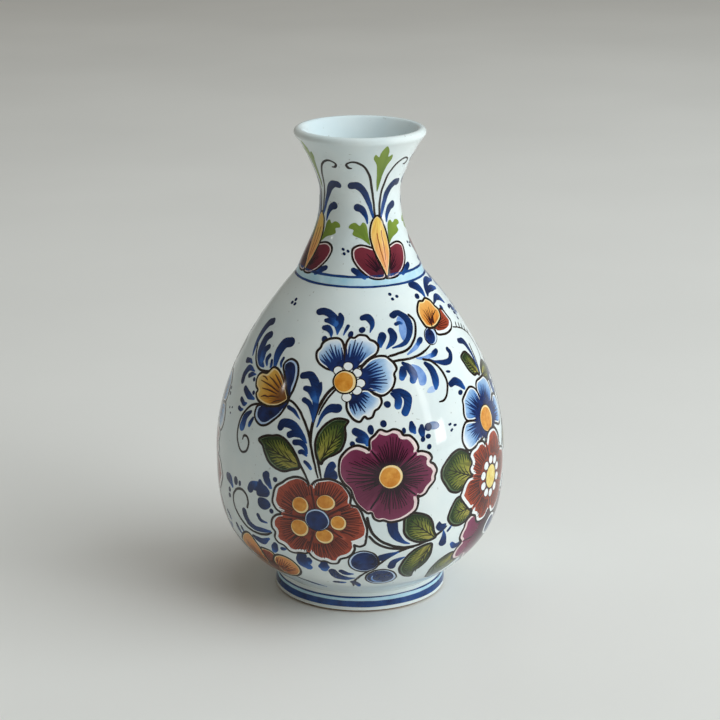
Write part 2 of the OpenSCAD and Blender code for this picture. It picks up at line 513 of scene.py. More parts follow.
def inside(points, ring):
    """Which points an anticlockwise ring goes round, by its winding number."""
    x, y = points[:, 0, None], points[:, 1, None]
    (ax, ay), (bx, by) = ring.T, np.roll(ring, -1, axis=0).T
    left = (bx - ax) * (y - ay) - (by - ay) * (x - ax)
    up = (ay <= y) & (by > y) & (left > 0)
    down = (ay > y) & (by <= y) & (left < 0)
    return np.sum(up.astype(int) - down, axis=1) > 0


def flat_map(rings):
    """Points and triangles that keep every edge of the rings, and are even between them."""
    verts, edges = [], []
    for ring in rings:
        first, count = len(verts), len(ring)
        edges.extend((first + i, first + (i + 1) % count) for i in range(count))
        verts.extend(map(tuple, ring))
    low, high = np.min(verts, axis=0), np.max(verts, axis=0)
    for row, y in enumerate(np.arange(low[1], high[1], CELL * ROW)):
        for x in np.arange(low[0] + (row % 2) * CELL / 2, high[0], CELL):
            verts.append((x, y))
    flat, _, tris, *_ = delaunay_2d_cdt([Vector(v) for v in verts], edges, [], 0, MERGE, False)
    return np.array([tuple(v) for v in flat]), np.array([tuple(t) for t in tris])


def top_ring(points, rings):
    """Which ring is the last to go round each point, or -1."""
    owner = np.full(len(points), -1)
    for top, ring in enumerate(rings):
        boxed = np.all((points > ring.min(axis=0)) & (points < ring.max(axis=0)), axis=1)
        near = np.nonzero(boxed)[0]
        owner[near[inside(points[near], ring)]] = top
    return owner


class Anchor:
    """A place on the vase that a motif is drawn round, in mm: x to the right, y up."""

    def __init__(self, angle, height, mirror, size):
        self.angle, self.along = math.radians(angle), along_at(height)
        self.scale = np.array([-size if mirror else size, size])

    def spread(self, xy):
        """Local mm to an angle and a distance along the side."""
        x, y = (np.asarray(xy, float)[:, :2] * self.scale).T
        s = self.along + y
        return np.stack([self.angle + x / side_at(s)[0], s], -1)

    def local(self, spread):
        """The way back from an angle and a distance along the side."""
        s = spread[:, 1]
        x = (spread[:, 0] - self.angle) * side_at(s)[0]
        return np.stack([x, s - self.along], -1) / self.scale


class Sheet:
    """Overlapping paint shapes that are cut into one map and wrapped on the glaze.

    radius is that of the vase where the sheet is drawn at its true size. spin and mirror
    move the whole painting round the vase, as the second side has it.
    """

    def __init__(self, name, radius, spin=0.0, mirror=False, seed=1):
        self.name, self.radius = name, radius
        self.spin, self.flip = math.radians(spin), -1 if mirror else 1
        self.shapes = []
        self.rng = random.Random(seed)
        self.anchor = None

    def at(self, angle, height, mirror=False, size=1.0):
        """Sets where the shapes that follow are drawn."""
        self.anchor = Anchor(angle, height, mirror, size)
        return self

    def fill(self, paint, outline, run=None):
        """A filled shape. Its colour runs by ("polar", centre, r0, r1), by ("axis", start,
        end, half width), or not at all."""
        flat = self.anchor.spread(outline) * [self.radius, 1]
        middle = np.mean(np.asarray(outline, float)[:, :2], axis=0)
        self.shapes.append((paint, flat, run, self.anchor, middle))

    def stroke(self, paint, *points):
        """One brush stroke through (x, y, width) points, from its head to its tail."""
        steps = [math.dist(a[:2], b[:2]) for a, b in zip(points, points[1:])]
        self.fill(paint, stroke_outline(points), ("polar", points[0][:2], 0.0, sum(steps)))

    def strokes(self, paint, *many):
        """Strokes one after another, each a list of its points."""
        for points in many:
            self.stroke(paint, *points)

    def line(self, width, *points, paint="ink"):
        """An even line that thins at its end."""
        path = [(x, y, width) for x, y in points]
        path[-1] = (*points[-1], width * 0.6)
        self.stroke(paint, *path)

    def dot(self, paint, x, y, rx, ry=None, tilt=0.0):
        """A round or oval dot."""
        ry = rx if ry is None else ry
        count = max(8, int(2 * math.pi * max(rx, ry) / STEP))
        turn = np.arange(count) * 2 * math.pi / count
        c, s = math.cos(math.radians(tilt)), math.sin(math.radians(tilt))
        u, v = rx * np.cos(turn), ry * np.sin(turn)
        self.fill(paint, np.stack([x + u * c - v * s, y + u * s + v * c], -1))

    def dots(self, paint, radius, *centres):
        """Round dots of one paint and one size."""
        for x, y in centres:
            self.dot(paint, x, y, radius)

    def spots(self, *many):
        """Dots one after another, each with its own paint and size."""
        for spot in many:
            self.dot(*spot)

    def blob(self, paint, *points):
        """A filled shape whose colour runs from its first point."""
        self.fill(paint, smooth_path(points, closed=True),
                  ("polar", points[0], 0.0, 2 * math.dist(points[0], points[len(points) // 2])))

    def outlined(self, points, fills, line=0.95, run=None, lean=(0, 0)):
        """A closed outline in ink, with fills inside it: (paint, distance in from the line)."""
        path = smooth_path(points, closed=True)
        self.fill("ink", inset(path, -line / 2))
        for paint, depth in fills:
            shift = np.array(lean) * (depth > 0)
            self.fill(paint, inset(path, line / 2 + depth) + shift, run)

    def petal(self, points, heart, reach, paint, rim="rim", band=0.8, line=0.95, lean=(0, 0)):
        """A petal: ink line, pale rim, and colour that runs from the heart to the rim."""
        self.outlined(points, [(rim, 0.0), (paint, band)], line, ("polar", heart, *reach), lean)

    def hairs(self, paint, heart, aims, start, ends, width=0.55, ragged=1.2, tail=0.2):
        """Fine strokes from the heart outwards, between two aims in degrees."""
        first, last, count = aims
        for i in range(count):
            aim = math.radians(first + (last - first) * (i + 0.5) / count
                               + self.rng.uniform(-0.9, 0.9))
            near = start + self.rng.uniform(-0.2, 0.4)
            far = ends[0] + (ends[1] - ends[0]) * math.sin(math.pi * (i + 0.5) / count)
            far += self.rng.uniform(-ragged, ragged)
            mid, bow = (near + far) / 2, self.rng.uniform(-0.25, 0.25)
            c, s = math.cos(aim), math.sin(aim)
            x, y = heart
            self.stroke(paint, (x + near * c, y + near * s, width),
                        (x + mid * c - bow * s, y + mid * s + bow * c, width * 0.85),
                        (x + far * c, y + far * s, tail))

    def wrap(self):
        """Cuts the shapes into one flat map, top paint winning, and wraps each colour on."""
        rings = [ring if signed_area(ring) > 0 else ring[::-1] for _, ring, *_ in self.shapes]
        flat, tris = flat_map(rings)
        owner = top_ring(flat[tris].mean(axis=1), rings)
        for paint in dict.fromkeys(shape[0] for shape in self.shapes):
            mine = np.isin(owner, [i for i, shape in enumerate(self.shapes) if shape[0] == paint])
            if mine.any():
                self._relief(paint, flat, tris[mine], owner[mine])

    def _wander(self, flat):
        """The small unsteadiness of a hand-held brush."""
        out = np.array(flat)
        for i, (x, y) in enumerate(flat):
            v = noise.noise_vector(Vector((x * WAVER, y * WAVER, self.radius)))
            out[i] += UNSTEADY * v.x, UNSTEADY * v.y
        return out

    def _on_vase(self, flat, lift):
        """Points in mm on the vase, and the outward normals there."""
        r, z, n = side_at(flat[:, 1])
        turn = self.spin + self.flip * flat[:, 0] / self.radius
        out = np.stack([np.sin(turn) * n[:, 0], -np.cos(turn) * n[:, 0], n[:, 1]], -1)
        base = np.stack([np.sin(turn) * r, -np.cos(turn) * r, z], -1)
        return base + out * lift, out

    def _brush(self, flat, top):
        """How far along its stroke or petal each point is, and how far across it."""
        _, _, run, anchor, middle = self.shapes[top]
        if run is None:
            return np.zeros((len(flat), 3))
        kind, start, near, far = run
        start = np.array(start, float)
        d = anchor.local(flat / [self.radius, 1]) - start
        if kind == "polar":
            aim = middle - start
            side = np.arctan2(d[:, 1] * aim[0] - d[:, 0] * aim[1], d @ aim)
            along = (np.linalg.norm(d, axis=1) - near) / (far - near)
        else:
            axis = np.array(near, float) - start
            length = np.linalg.norm(axis)
            side = (d[:, 1] * axis[0] - d[:, 0] * axis[1]) / length / far
            along = d @ axis / length**2
        return np.stack([along, side, np.full(len(d), top)], -1)

    def _relief(self, paint, flat, corners, owner):
        """One colour as a closed skin: painted face, sunk underside and a wall between."""
        order, index = np.unique(corners, return_inverse=True)
        tris = index.reshape(-1, 3)
        brush = np.zeros((len(order), 3))
        for top in np.unique(owner):
            mine = np.unique(tris[owner == top])
            brush[mine] = self._brush(flat[order[mine]], top)
        drawn = self._wander(flat[order])
        up, out = self._on_vase(drawn, PROUD)
        down, _ = self._on_vase(drawn, -SUNK)
        if self.flip < 0:
            tris = tris[:, ::-1]
        count = len(order)
        edges = np.vstack([tris[:, [0, 1]], tris[:, [1, 2]], tris[:, [2, 0]]])
        there, back = edges @ [count, 1], edges @ [1, count]
        a, b = edges[~np.isin(back, there)].T
        verts = np.vstack([up, down])
        wall = np.stack([b, a, count + a, count + b], -1)
        faces = tris.tolist() + (count + tris[:, ::-1]).tolist() + wall.tolist()
        side = unit(-np.cross(out[a], verts[b] - verts[a]))
        normals = np.vstack([out[tris.ravel()], -out[tris[:, ::-1].ravel()],
                             np.repeat(side, 4, axis=0)])
        add_mesh(self.name + "_" + paint, verts, faces, PAINT[paint],
                 normals, np.vstack([brush, brush]))


# ---------------------------------------------------------------- the painting: flowers

def grown(points, base, size):
    """The outline grown or shrunk about a base point."""
    return [(base[0] + (x - base[0]) * size, base[1] + (y - base[1]) * size) for x, y in points]


def hatch(sheet, outline, base, along):
    """Dark strokes from the edge of a leaf in towards its midrib."""
    edge = inset(smooth_path(grown(outline, base, 0.93), closed=True), 0.7)
    for point in edge[::3]:
        reach = (point - base) @ along / (along @ along)
        if reach > 0.22:
            aim = np.add(base, along * (reach - 0.3)) - point
            middle, end = point + aim * 0.16, point + aim * sheet.rng.uniform(0.3, 0.5)
            sheet.stroke("fern", (*point, 0.8), (*middle, 0.6), (*end, 0.14))


def leaf(sheet, outline, base, tip, half, veins=4):
    """A leaf: dark edge, lighter towards its base, hatched from the edge, with fine veins."""
    axis = ("axis", base, tip, half)
    sheet.outlined(outline, [("moss", 0.0), ("fern", 0.3)], run=axis, lean=(0.22, 0.18))
    sheet.fill("leaf", inset(smooth_path(grown(outline, base, 0.9), closed=True), 0.7), axis)
    along = np.subtract(tip, base)
    across = np.array([-along[1], along[0]]) / np.linalg.norm(along)

    def place(u, v):
        return np.array(base) + along * u + across * (v * half)

    sheet.line(0.5, place(0.02, 0), place(0.4, 0), place(0.86, 0), paint="vein")
    hatch(sheet, outline, base, along)
    for i in range(veins):
        u = 0.12 + 0.62 * i / veins
        for side in (-1, 1):
            near, far = place(u, side * 0.02), place(u + 0.27, side * (0.52 - 0.05 * i))
            middle = place(u + 0.16, side * 0.24)
            sheet.stroke("vein", (*near, 0.42), (*middle, 0.38), (*far, 0.12))


def notches(sheet, paint, dark, heart, *ends):
    """Carries the petal colour into each notch between petals, with a dark seam on it."""
    for end in ends:
        path = [np.add(heart, np.subtract(end, heart) * u) for u in (0.35, 0.7, 0.95)]
        for colour, widths in ((paint, (3.2, 2.8, 1.5)), (dark, (0.9, 0.8, 0.6))):
            sheet.stroke(colour, *[(*point, width) for point, width in zip(path, widths)])


def blue_flower(sheet):
    """The blue flower in the middle of the bouquet, with four notched petals."""
    heart = (-0.6, 0.1)
    petals = [
        [(-5, 4.3), (-7.6, 4.6), (-10.2, 6), (-11.7, 8.2), (-11.7, 10.4), (-10.3, 12.2),
         (-9.7, 13.9), (-7.6, 15.6), (-5, 16.2), (-2.8, 15.6), (-1.7, 13.4), (-1.2, 10.5),
         (-1.4, 8), (-2.2, 5.4)],
        [(0.4, 5.5), (-0.8, 8.5), (-1.1, 11.5), (-0.8, 14.6), (0.4, 16.6), (2, 16.6),
         (3.6, 17.7), (6, 17.4), (7.6, 15.9), (9.4, 15.1), (10.8, 13.2), (10.3, 10.8),
         (8.3, 9.2), (6.6, 7.8), (4.6, 6)],
        [(5, 4.4), (6.4, 7), (8.4, 8.8), (11.2, 9.6), (13.6, 9.3), (15.2, 8.2), (17, 6.6),
         (18.1, 4.4), (17.2, 2.6), (17.7, 0.6), (17, -2), (15, -4.2), (12.6, -4.9),
         (10, -3.9), (7.8, -2.4), (5.4, -1.2)],
        [(2.6, -4.2), (5.4, -2.6), (8, -2.6), (10.2, -4.2), (12.4, -5.4), (13, -7.4),
         (12, -9.4), (10.6, -10.4), (9.8, -12.6), (8.2, -13.1), (6.9, -12.3), (5.4, -14.1),
         (3.4, -13.5), (1.4, -11.4), (0.4, -8.6), (0.6, -6.4)],
    ]
    for outline, far in zip(petals, (16.5, 18, 18.8, 15.2)):
        sheet.petal(outline, heart, (4.5, far), "blue", band=0.45)
    for aims, ends in (((96, 143, 9), (11, 14.5)), ((54, 92, 8), (11.5, 15.5)),
                       ((-20, 36, 11), (12, 15.5)), ((-78, -30, 9), (10, 12.8))):
        sheet.hairs("navy", heart, aims, 6, ends, 0.95, tail=0.35)
    for aims in ((98, 139, 8), (56, 90, 7), (-18, 34, 9), (-74, -32, 8)):
        sheet.hairs("navy", heart, aims, 5.8, (8, 9.6), 1.3, 0.5)
    for x, y in ((-3.3, 4.2), (0.3, 5.9), (3.7, 3.5), (5, -0.3), (3.9, -2.9), (0.3, -5.4)):
        sheet.spots(("ink", x, y, 1.95, 1.8), ("rim", x, y, 1.6, 1.45))
    sheet.spots(("ink", *heart, 4.5), ("cream", *heart, 3.9), ("orange", -1, 0.1, 3.4, 3.5))


def plum_flower(sheet):
    """The plum flower below it, with a pale rim."""
    heart = (-1.2, 0.5)
    outline = [
        (-8.6, 10.5), (-8.4, 14), (-6.5, 16), (-4.5, 17.8), (-2, 16.9), (0.5, 17.7),
        (3, 16.8), (4, 15.2), (6.5, 14.8), (8.6, 12.6), (9.6, 10.2), (9.2, 8.7), (11, 8.6),
        (13.6, 7.6), (14.9, 5.6), (14.2, 4.2), (15.8, 3), (16.8, 0.8), (16, -1.4),
        (15.9, -3), (13.6, -5.4), (12, -7.4), (10, -8.2), (8.8, -7.8), (9.2, -10),
        (8.4, -13), (6, -15), (3, -16.4), (1, -16.9), (-1.5, -17), (-3.8, -16.2),
        (-5.5, -16.3), (-7.4, -15.2), (-8.4, -13), (-10, -13), (-14, -9), (-16, -4),
        (-18.8, -1), (-20, 2), (-19.8, 6), (-18.4, 9), (-15.5, 11.4), (-12.5, 12.2),
        (-9.2, 11)]
    sheet.petal(outline, heart, (4, 19), "plum", "pink_rim", 0.7, lean=(-0.5, -0.25))
    notches(sheet, "plum", "wine", heart, (-8.2, 10.6), (8.8, 8.4), (8.5, -7.7), (-9, -12))
    for aims, ends in (((48, 122, 15), (9.5, 14)), ((-36, 40, 15), (9.5, 13.5)),
                       ((-118, -44, 15), (9, 13.5)), ((132, 214, 16), (9, 15.5))):
        sheet.hairs("wine", heart, aims, 4.6, ends, 0.47, 1.2, 0.28)
    sheet.hairs("wine", heart, (0, 360, 40), 4.4, (6.4, 6.5), 0.32, 0.9)
    sheet.spots(("ink", *heart, 4.6), ("cream", *heart, 4.3), ("orange", -1.45, 0.3, 3.75))


def red_flower(sheet):
    """The red flower, with five orange dots round its heart."""
    heart = (0, 0.3)
    outline = [
        (-2.6, 12.6), (-3.4, 14.4), (-5.2, 15.6), (-8, 16), (-11, 15), (-14, 12.8),
        (-16.8, 10.6), (-17.8, 7.4), (-18.2, 4.6), (-16.6, 2), (-14.2, 0.6), (-17, -0.6),
        (-19, -3.4), (-19, -6), (-17.6, -7.6), (-18, -10), (-16.6, -12), (-14, -13),
        (-12, -15), (-9.6, -15.4), (-7.6, -14.8), (-5, -14.6), (-4, -13.8), (-2.8, -16),
        (0, -17.6), (2, -17.4), (4, -18.4), (6.4, -18), (7.8, -15.8), (10.4, -14.8),
        (12.4, -13), (13.6, -10.8), (13.4, -9.2), (13.6, -8.8), (14.4, -9.4),
        (15.8, -9.6), (17.4, -8.6), (17.8, -6.6), (18.4, -3.4), (18, -0.6), (17.2, 2),
        (16.2, 4.6), (14.8, 6.4), (12.4, 7.2), (12.6, 10), (11, 13), (8.6, 15.4),
        (5, 16.6), (2, 16.2), (-0.6, 15.2), (-2, 13.6)]
    sheet.petal(outline, heart, (4, 19), "brick", "rim", 0.75, lean=(0.35, 0.55))
    sheet.blob("rim", (12.2, -7.4), (14, -6.8), (16, -5.8), (17.3, -4.8), (17.5, -6.4),
               (16.6, -8.1), (15.2, -9), (13.8, -8.6))
    notches(sheet, "brick", "maroon", heart, (-2.3, 13.8), (-14.4, 0.6), (-4.1, -13.8),
            (9.6, -6.4), (12.2, 7.3))
    for aims, ends in (((100, 176, 21), (14.8, 15.4)), ((183, 252, 20), (15, 16.2)),
                       ((258, 322, 19), (14.4, 16.6)), ((-26, 29, 17), (14.6, 16)),
                       ((37, 96, 17), (14, 15.4))):
        sheet.hairs("maroon", heart, aims, 9.6, ends, 0.44, 0.5, 0.3)
    sheet.hairs("maroon", heart, (0, 360, 30), 5, (7.4, 7.5), 0.32, 0.6)
    for x, y, rx, ry in ((-6.4, 5.4, 3.2, 3.1), (3.4, 7.4, 3.4, 2.9), (8, -0.2, 2.9, 2.8),
                         (2.6, -6, 3.3, 2.9), (-6.9, -3.8, 3.5, 3.3)):
        sheet.spots(("maroon", x, y, rx + 0.3, ry + 0.3), ("cream", x, y, rx, ry),
                    ("orange", x - 0.2, y + 0.25, rx - 0.4, ry - 0.4))
    sheet.spots(("ink", 0, 0.4, 4.9, 4.5), ("haze", 0, 0.4, 4.5, 4.1),
                ("navy", -0.1, 0.15, 4.2, 3.85))


# ---------------------------------------------------------------- the painting: sprays

def stems(sheet):
    """The stems that tie the bouquet together, two leaves and the strokes between."""
    sheet.line(0.95, (-9, 15.2), (-6.5, 14.5), (-3.5, 12), (-1, 8.4), (1.2, 4), (2.6, -1),
               (3.9, -5.5), (5.8, -11.5))
    sheet.line(1.2, (8.4, 22), (6.2, 19.6), (4.2, 15.5), (2.8, 11), (2, 6.5), (2, 2), (2.6, -1))
    sheet.line(0.8, (9.2, 21.4), (7.2, 18.6), (5.2, 15), (4, 11.5))
    sheet.line(0.9, (5.4, -5.5), (6.2, -8.5), (7, -11.6))
    sheet.line(0.9, (-1.9, -6.4), (0.6, -10.5), (2.5, -13.9))
    leaf(sheet, [(-20.4, -1.6), (-17, 0.5), (-14, 1.2), (-11, 1.7), (-8, 0.8), (-5.5, -1.2),
                 (-3.4, -3.8), (-1.9, -6.4), (-1.6, -8.6), (-3, -9.4), (-5.2, -10),
                 (-8, -10.9), (-11.5, -10.4), (-14.6, -8.8), (-16.8, -6), (-18.2, -3.2)],
         (-2.5, -7.5), (-20, -1.5), 5.5)
    leaf(sheet, [(15.2, 9.7), (13.6, 10.4), (11.8, 10.6), (9.4, 10), (6.8, 8), (4.8, 5),
                 (4, 1.5), (4.3, -2), (5.4, -5), (6.8, -6.3), (7.4, -5), (9, -3.6),
                 (11.5, -2.4), (13.6, -0.6), (14.6, 2), (14.8, 5), (14.2, 7.6)],
         (6.5, -5), (14.5, 9.5), 5)
    sheet.strokes(
        "cobalt",
        [(10.6, 14.2, 3.4), (8, 14, 3), (5.5, 11.5, 1.6), (3.9, 7, 0.5)],
        [(-8.2, 12.6, 1.6), (-5.5, 11.4, 1.5), (-3, 9, 0.4)],
        [(-10.8, 4.8, 2.6), (-9.6, 6.6, 3.2), (-6, 6.6, 3.4), (-2.6, 4.2, 2.8), (0.4, 0.8, 0.6)],
        [(-6.6, 2.8, 2.4), (-4.5, 3.6, 2.6), (-1.5, 3.2, 2.2), (0.6, 0.8, 0.6)],
        [(-4, 0.4, 2.2), (-2, 0.6, 2.2), (0, -0.6, 1.8), (1.2, -3, 0.6)],
        [(-1.8, -2.8, 1.6), (-0.6, -2.6, 1.8), (1, -3.8, 0.8)],
        [(0.4, -6, 1.2), (1.6, -7, 1.4), (2.8, -8.4, 1.2)],
        [(-15.5, -13.6, 2.6), (-15.4, -16, 2.4), (-14, -18.4, 1.2)])
    sheet.blob("cobalt", (8.2, -11.4), (8.4, -8), (9.6, -5.6), (11.2, -5), (12.2, -6.6),
               (11.6, -8), (12.6, -9), (12.8, -11.4))
    sheet.dot("cobalt", -11.6, -15, 0.9)


def shell_bud(sheet):
    """A half-open bud with a gold shell, between two navy petals."""
    sheet.strokes(
        "cobalt",
        [(-1.9, 15.8, 3.9), (-4.4, 14.6, 4), (-6, 10.5, 3.7), (-5.6, 6, 1.8)],
        [(-2.6, 9.4, 1.2), (-3, 7.6, 1.3), (-2.4, 6, 0.8)],
        [(-13.8, 16, 2.8), (-16, 13.8, 3.6), (-16.4, 9, 4), (-14, 5.4, 3.2), (-11.6, 4.2, 1.2)],
        [(-12.2, 11.6, 2.2), (-13.8, 9.8, 2.6), (-13.6, 6.6, 2.6)],
        [(-10, 8.8, 1.8), (-10.8, 7, 1.9), (-9.8, 5, 0.9)],
        [(-8, 7.4, 1.2), (-7.6, 5.6, 1.4), (-7.8, 4.8, 0.8)],
        [(-15.8, 20.8, 2.8), (-18.4, 19.2, 3), (-20.8, 15, 3), (-21.8, 10, 2.4), (-21.2, 6, 0.8)],
        [(-24.6, 3.2, 2.2), (-21.6, 3.8, 1.8), (-19.4, 3.4, 0.6)],
        [(-22.8, -4, 2.8), (-22.6, -1.4, 2.8), (-20.2, 1.4, 2.4), (-16, 1.3, 0.6)],
        [(-18.8, -1.2, 1.8), (-17, -0.2, 1.9), (-14.6, 0.4, 0.5)],
        [(-19, -6.2, 2.4), (-15.6, -7.8, 2.9), (-12, -8.2, 1)],
        [(-20, -10.4, 1.9), (-17.5, -11.5, 1.9), (-15.8, -10.8, 0.8)],
        [(-20.4, -13.8, 1.8), (-19, -14, 1.6), (-17.6, -13.6, 0.8)],
        [(-12, -13, 1.2), (-14.6, -15.4, 2.6), (-16, -19.6, 3.4)],
        [(-10.2, -15, 1.2), (-11.4, -17.2, 1.8), (-11.8, -18.2, 1.4)],
        [(8, 4.6, 2.6), (11, 5, 3), (14, 1.5, 3.2), (15.6, -4, 2.6), (16.6, -10.6, 0.6)],
        [(10.4, 0.2, 2), (12.6, -0.4, 2.6), (14.6, -3, 2)],
        [(11, -4, 1.9), (13.4, -5.2, 1.9), (15.2, -8.4, 1.2), (16.4, -11.5, 0.5)],
        [(15.6, 2.8, 0.9), (16.4, -0.4, 1.1), (16.2, -4, 0.6)])
    sheet.dots("cobalt", 0.85, (-14.8, -1.6), (-13, -6.2))
    sheet.line(0.9, (-7.6, -9), (-11, -10), (-14.5, -12.4), (-17.5, -16.5), (-18.6, -21),
               (-18, -25), (-15, -28.5), (-11.8, -27.8), (-10.6, -24.8), (-12, -22.4),
               (-14, -22.6), (-14.6, -24))
    sheet.line(0.9, (-8, 3.2), (-11, 2.6), (-14, 2.8), (-17, 4.6), (-19.4, 8), (-20.5, 11))
    heart = (3.6, -4.8)
    sheet.outlined([(-1.4, 6.6), (-0.8, 8.6), (1.2, 9.8), (3.8, 9), (5.4, 6.4), (6, 3),
                    (5.8, -0.5), (5, -3.4), (4.4, -5), (2.4, 0), (0.2, 3.6)],
                   [("haze", 0.0), ("navy", 0.45)], lean=(-0.3, -0.2))
    sheet.stroke("navy", (0.6, 5.4, 1.6), (2.9, 1.6, 2), (4.4, -3, 1.2))
    sheet.outlined([(4.6, -5.6), (4, -8), (2.6, -10.8), (0, -13.6), (-3, -15.8), (-6, -16.4),
                    (-8.8, -15), (-9.8, -12.6), (-9, -10), (-6, -9.2), (-2, -9.4), (1.5, -8)],
                   [("haze", 0.0), ("navy", 0.45)], lean=(0.4, 0.3))
    sheet.stroke("navy", (-6.6, -10, 1.6), (-2, -10.2, 2), (1.6, -8.8, 2), (4, -6.4, 1))
    shell = [(-7.6, 3.4), (-8.6, 2.4), (-11, 2), (-12.8, 0.6), (-13.2, -1.6), (-12.4, -3.6),
             (-10.9, -4.6), (-11.4, -6), (-10, -7.8), (-7, -8.8), (-3.5, -9), (0, -8.2),
             (2.6, -6.8), (4.4, -5), (3.4, -2.6), (1.6, 0), (-1, 3.2), (-3.6, 5), (-6, 5.2)]
    sheet.petal(shell, heart, (3, 16), "gold", "cream", 0.5, lean=(0.3, 0))
    for x, y, u, v in ((-10.6, -0.8, -0.4, -3), (-8.8, -3.4, -0.8, -3.9), (-6.6, 1.5, -0.6, -1.6),
                       (-4, 2.8, 0.8, -1.4), (-1.4, 3.6, 2, -1), (-5.8, -6, 0, -4.9),
                       (-2.4, -7.4, 2, -5.6), (-8.4, -6.4, -4.6, -5.8), (-10.2, 0.8, -7.2, 0.1)):
        sheet.stroke("rust", (u, v, 0.55), ((x + u) / 2, (y + v) / 2 + 0.4, 0.75), (x, y, 0.35))
        sheet.stroke("vein", (u, v, 0.3), ((x + u) / 2, (y + v) / 2 + 0.3, 0.45), (x, y, 0.2))


def crest(sheet):
    """The curled strokes over the blue flower."""
    sheet.strokes(
        "cobalt",
        [(-11.2, 0.8, 2.4), (-9.4, 1.4, 2.8), (-7, 0.8, 3), (-5, -1, 3.2), (-3.6, -3.6, 2.6),
         (-3.2, -6.6, 0.8)],
        [(-3, 0.8, 1.4), (-2.6, -0.6, 2.8), (-2.8, -3, 2.8), (-3.2, -5.5, 1.6), (-3.3, -7, 0.5)],
        [(-8, -2, 1.6), (-6.4, -2, 2.4), (-4.6, -3, 2.2)],
        [(-8.4, -4.9, 2), (-7, -4.9, 2.6), (-5.8, -6.4, 1.8), (-5.6, -8, 0.6)],
        [(0.4, -3.6, 1.4), (-0.2, -5, 1.2), (-1, -7, 0.5)],
        [(5.4, -0.4, 2.2), (7, -0.1, 2.6), (8.6, -1.6, 2.4), (9.2, -3.6, 1.6), (8.6, -6, 0.5)])
    sheet.spots(("cobalt", -7.9, -9.3, 1.2, 1.4), ("cobalt", 1.6, -6.8, 0.95, 1.4, -20),
                ("cobalt", 5.6, -5, 1.2, 1.2))


def feathers(sheet):
    """The big two-tone feathers that curl down to the right of the blue flower."""
    sheet.blob("sky", (-3.6, 12.6), (-1.6, 14.4), (-0.6, 12), (-0.6, 8), (-1.8, 4.6),
               (-3.6, 4.6), (-3.9, 8), (-3.4, 10.4))
    sheet.blob("sky", (-2.8, -4.6), (0, -6), (1.6, -8.4), (1.8, -11), (0.6, -12.8),
               (-1.4, -12.6), (-1.6, -9.6), (-2, -7))
    sheet.blob("haze", (0.8, -15.6), (2.6, -14), (4.6, -14), (4.4, -15.8), (2.6, -16.3))
    sheet.strokes(
        "sky",
        [(2.3, 2.5, 1.8), (0.2, 0.9, 1.6), (-3.3, -0.8, 0.6)],
        [(7, -2.8, 1.8), (3, -3.2, 1.4), (0, -2.8, 0.6)])
    sheet.strokes(
        "cobalt",
        [(-10.6, 7.1, 2.8), (-11.8, 5.2, 2.6), (-12.7, 3.2, 1.4)],
        [(-7, 8.6, 2.6), (-6.6, 6.7, 3), (-7.9, 4.4, 2.2), (-10.6, 2.1, 0.6)],
        [(-4.5, 14.4, 2.5), (-2.2, 15.2, 2.4), (0.5, 12.5, 2.8), (0.7, 9, 2.8),
         (-1, 5.5, 2), (-3.7, 3.2, 1.6), (-8.3, 2.1, 0.6)],
        [(-4.4, 11, 1.4), (-3, 11.4, 1.4), (-2, 11, 1)],
        [(3.8, 3.9, 2), (3, 3.2, 2.2), (2, 2.3, 1.4)],
        [(9.2, -1.6, 2), (8, -2.4, 2.4), (6.8, -3, 1.4)],
        [(15.3, -2.2, 1.6), (16.3, -4.1, 2), (14.8, -6.4, 2.4), (11.7, -6.6, 2.2),
         (7.8, -5.4, 1), (4.8, -3.9, 0.5)],
        [(3, -5.2, 1.6), (4.8, -7.6, 2.8), (5.6, -10.8, 3.2), (5.4, -13.2, 2.8),
         (5, -14.8, 1.6)],
        [(-6, -3.9, 1.4), (-4, -6, 3), (-3, -8.6, 3.2), (-3.8, -10.6, 2.6)],
        [(-6.6, -6, 2.4), (-7, -7.6, 3), (-7.8, -9.2, 2.2)],
        [(-12.5, -13.5, 1.2), (-9.4, -14.3, 2.8), (-7.4, -16.4, 3.4), (-8, -19.4, 3),
         (-9.4, -21.8, 2.8)],
        [(-13, -14.6, 1.2), (-11, -16.4, 2.8), (-11.6, -19.2, 2.6)],
        [(12.5, -14.8, 2.6), (14.8, -14.3, 3), (17.5, -16, 2.6), (19.2, -17.9, 1.4)])
    sheet.line(0.95, (1.9, 13.9), (3.4, 11.7), (3.4, 9.4), (2.3, 6.3), (0.5, 3.6),
               (-2.2, 1.3), (-5.2, 0.2), (-9.5, -0.6), (-10.6, -0.8))
    sheet.line(0.95, (-10.6, -2.9), (-8.7, -2.7), (-2.9, -2.5), (0.9, -1.8), (4, -0.8), (7.1, 0.9))
    sheet.line(0.95, (2.5, -3.5), (5.5, -4.7), (8.2, -7.3), (10.2, -11), (10.7, -14.5),
               (9.4, -17.9), (7.5, -19.8), (5.3, -20))
    sheet.spots(("cobalt", -15.4, -18.3, 1.3), ("cobalt", 12.5, -10.2, 1.2, 0.5, -15),
                ("cobalt", 16.5, -18.9, 1.3, 1))
    sheet.dots("cobalt", 0.7, (-2.7, 22.8), (-0.2, 21.6), (-2.3, 20.8))


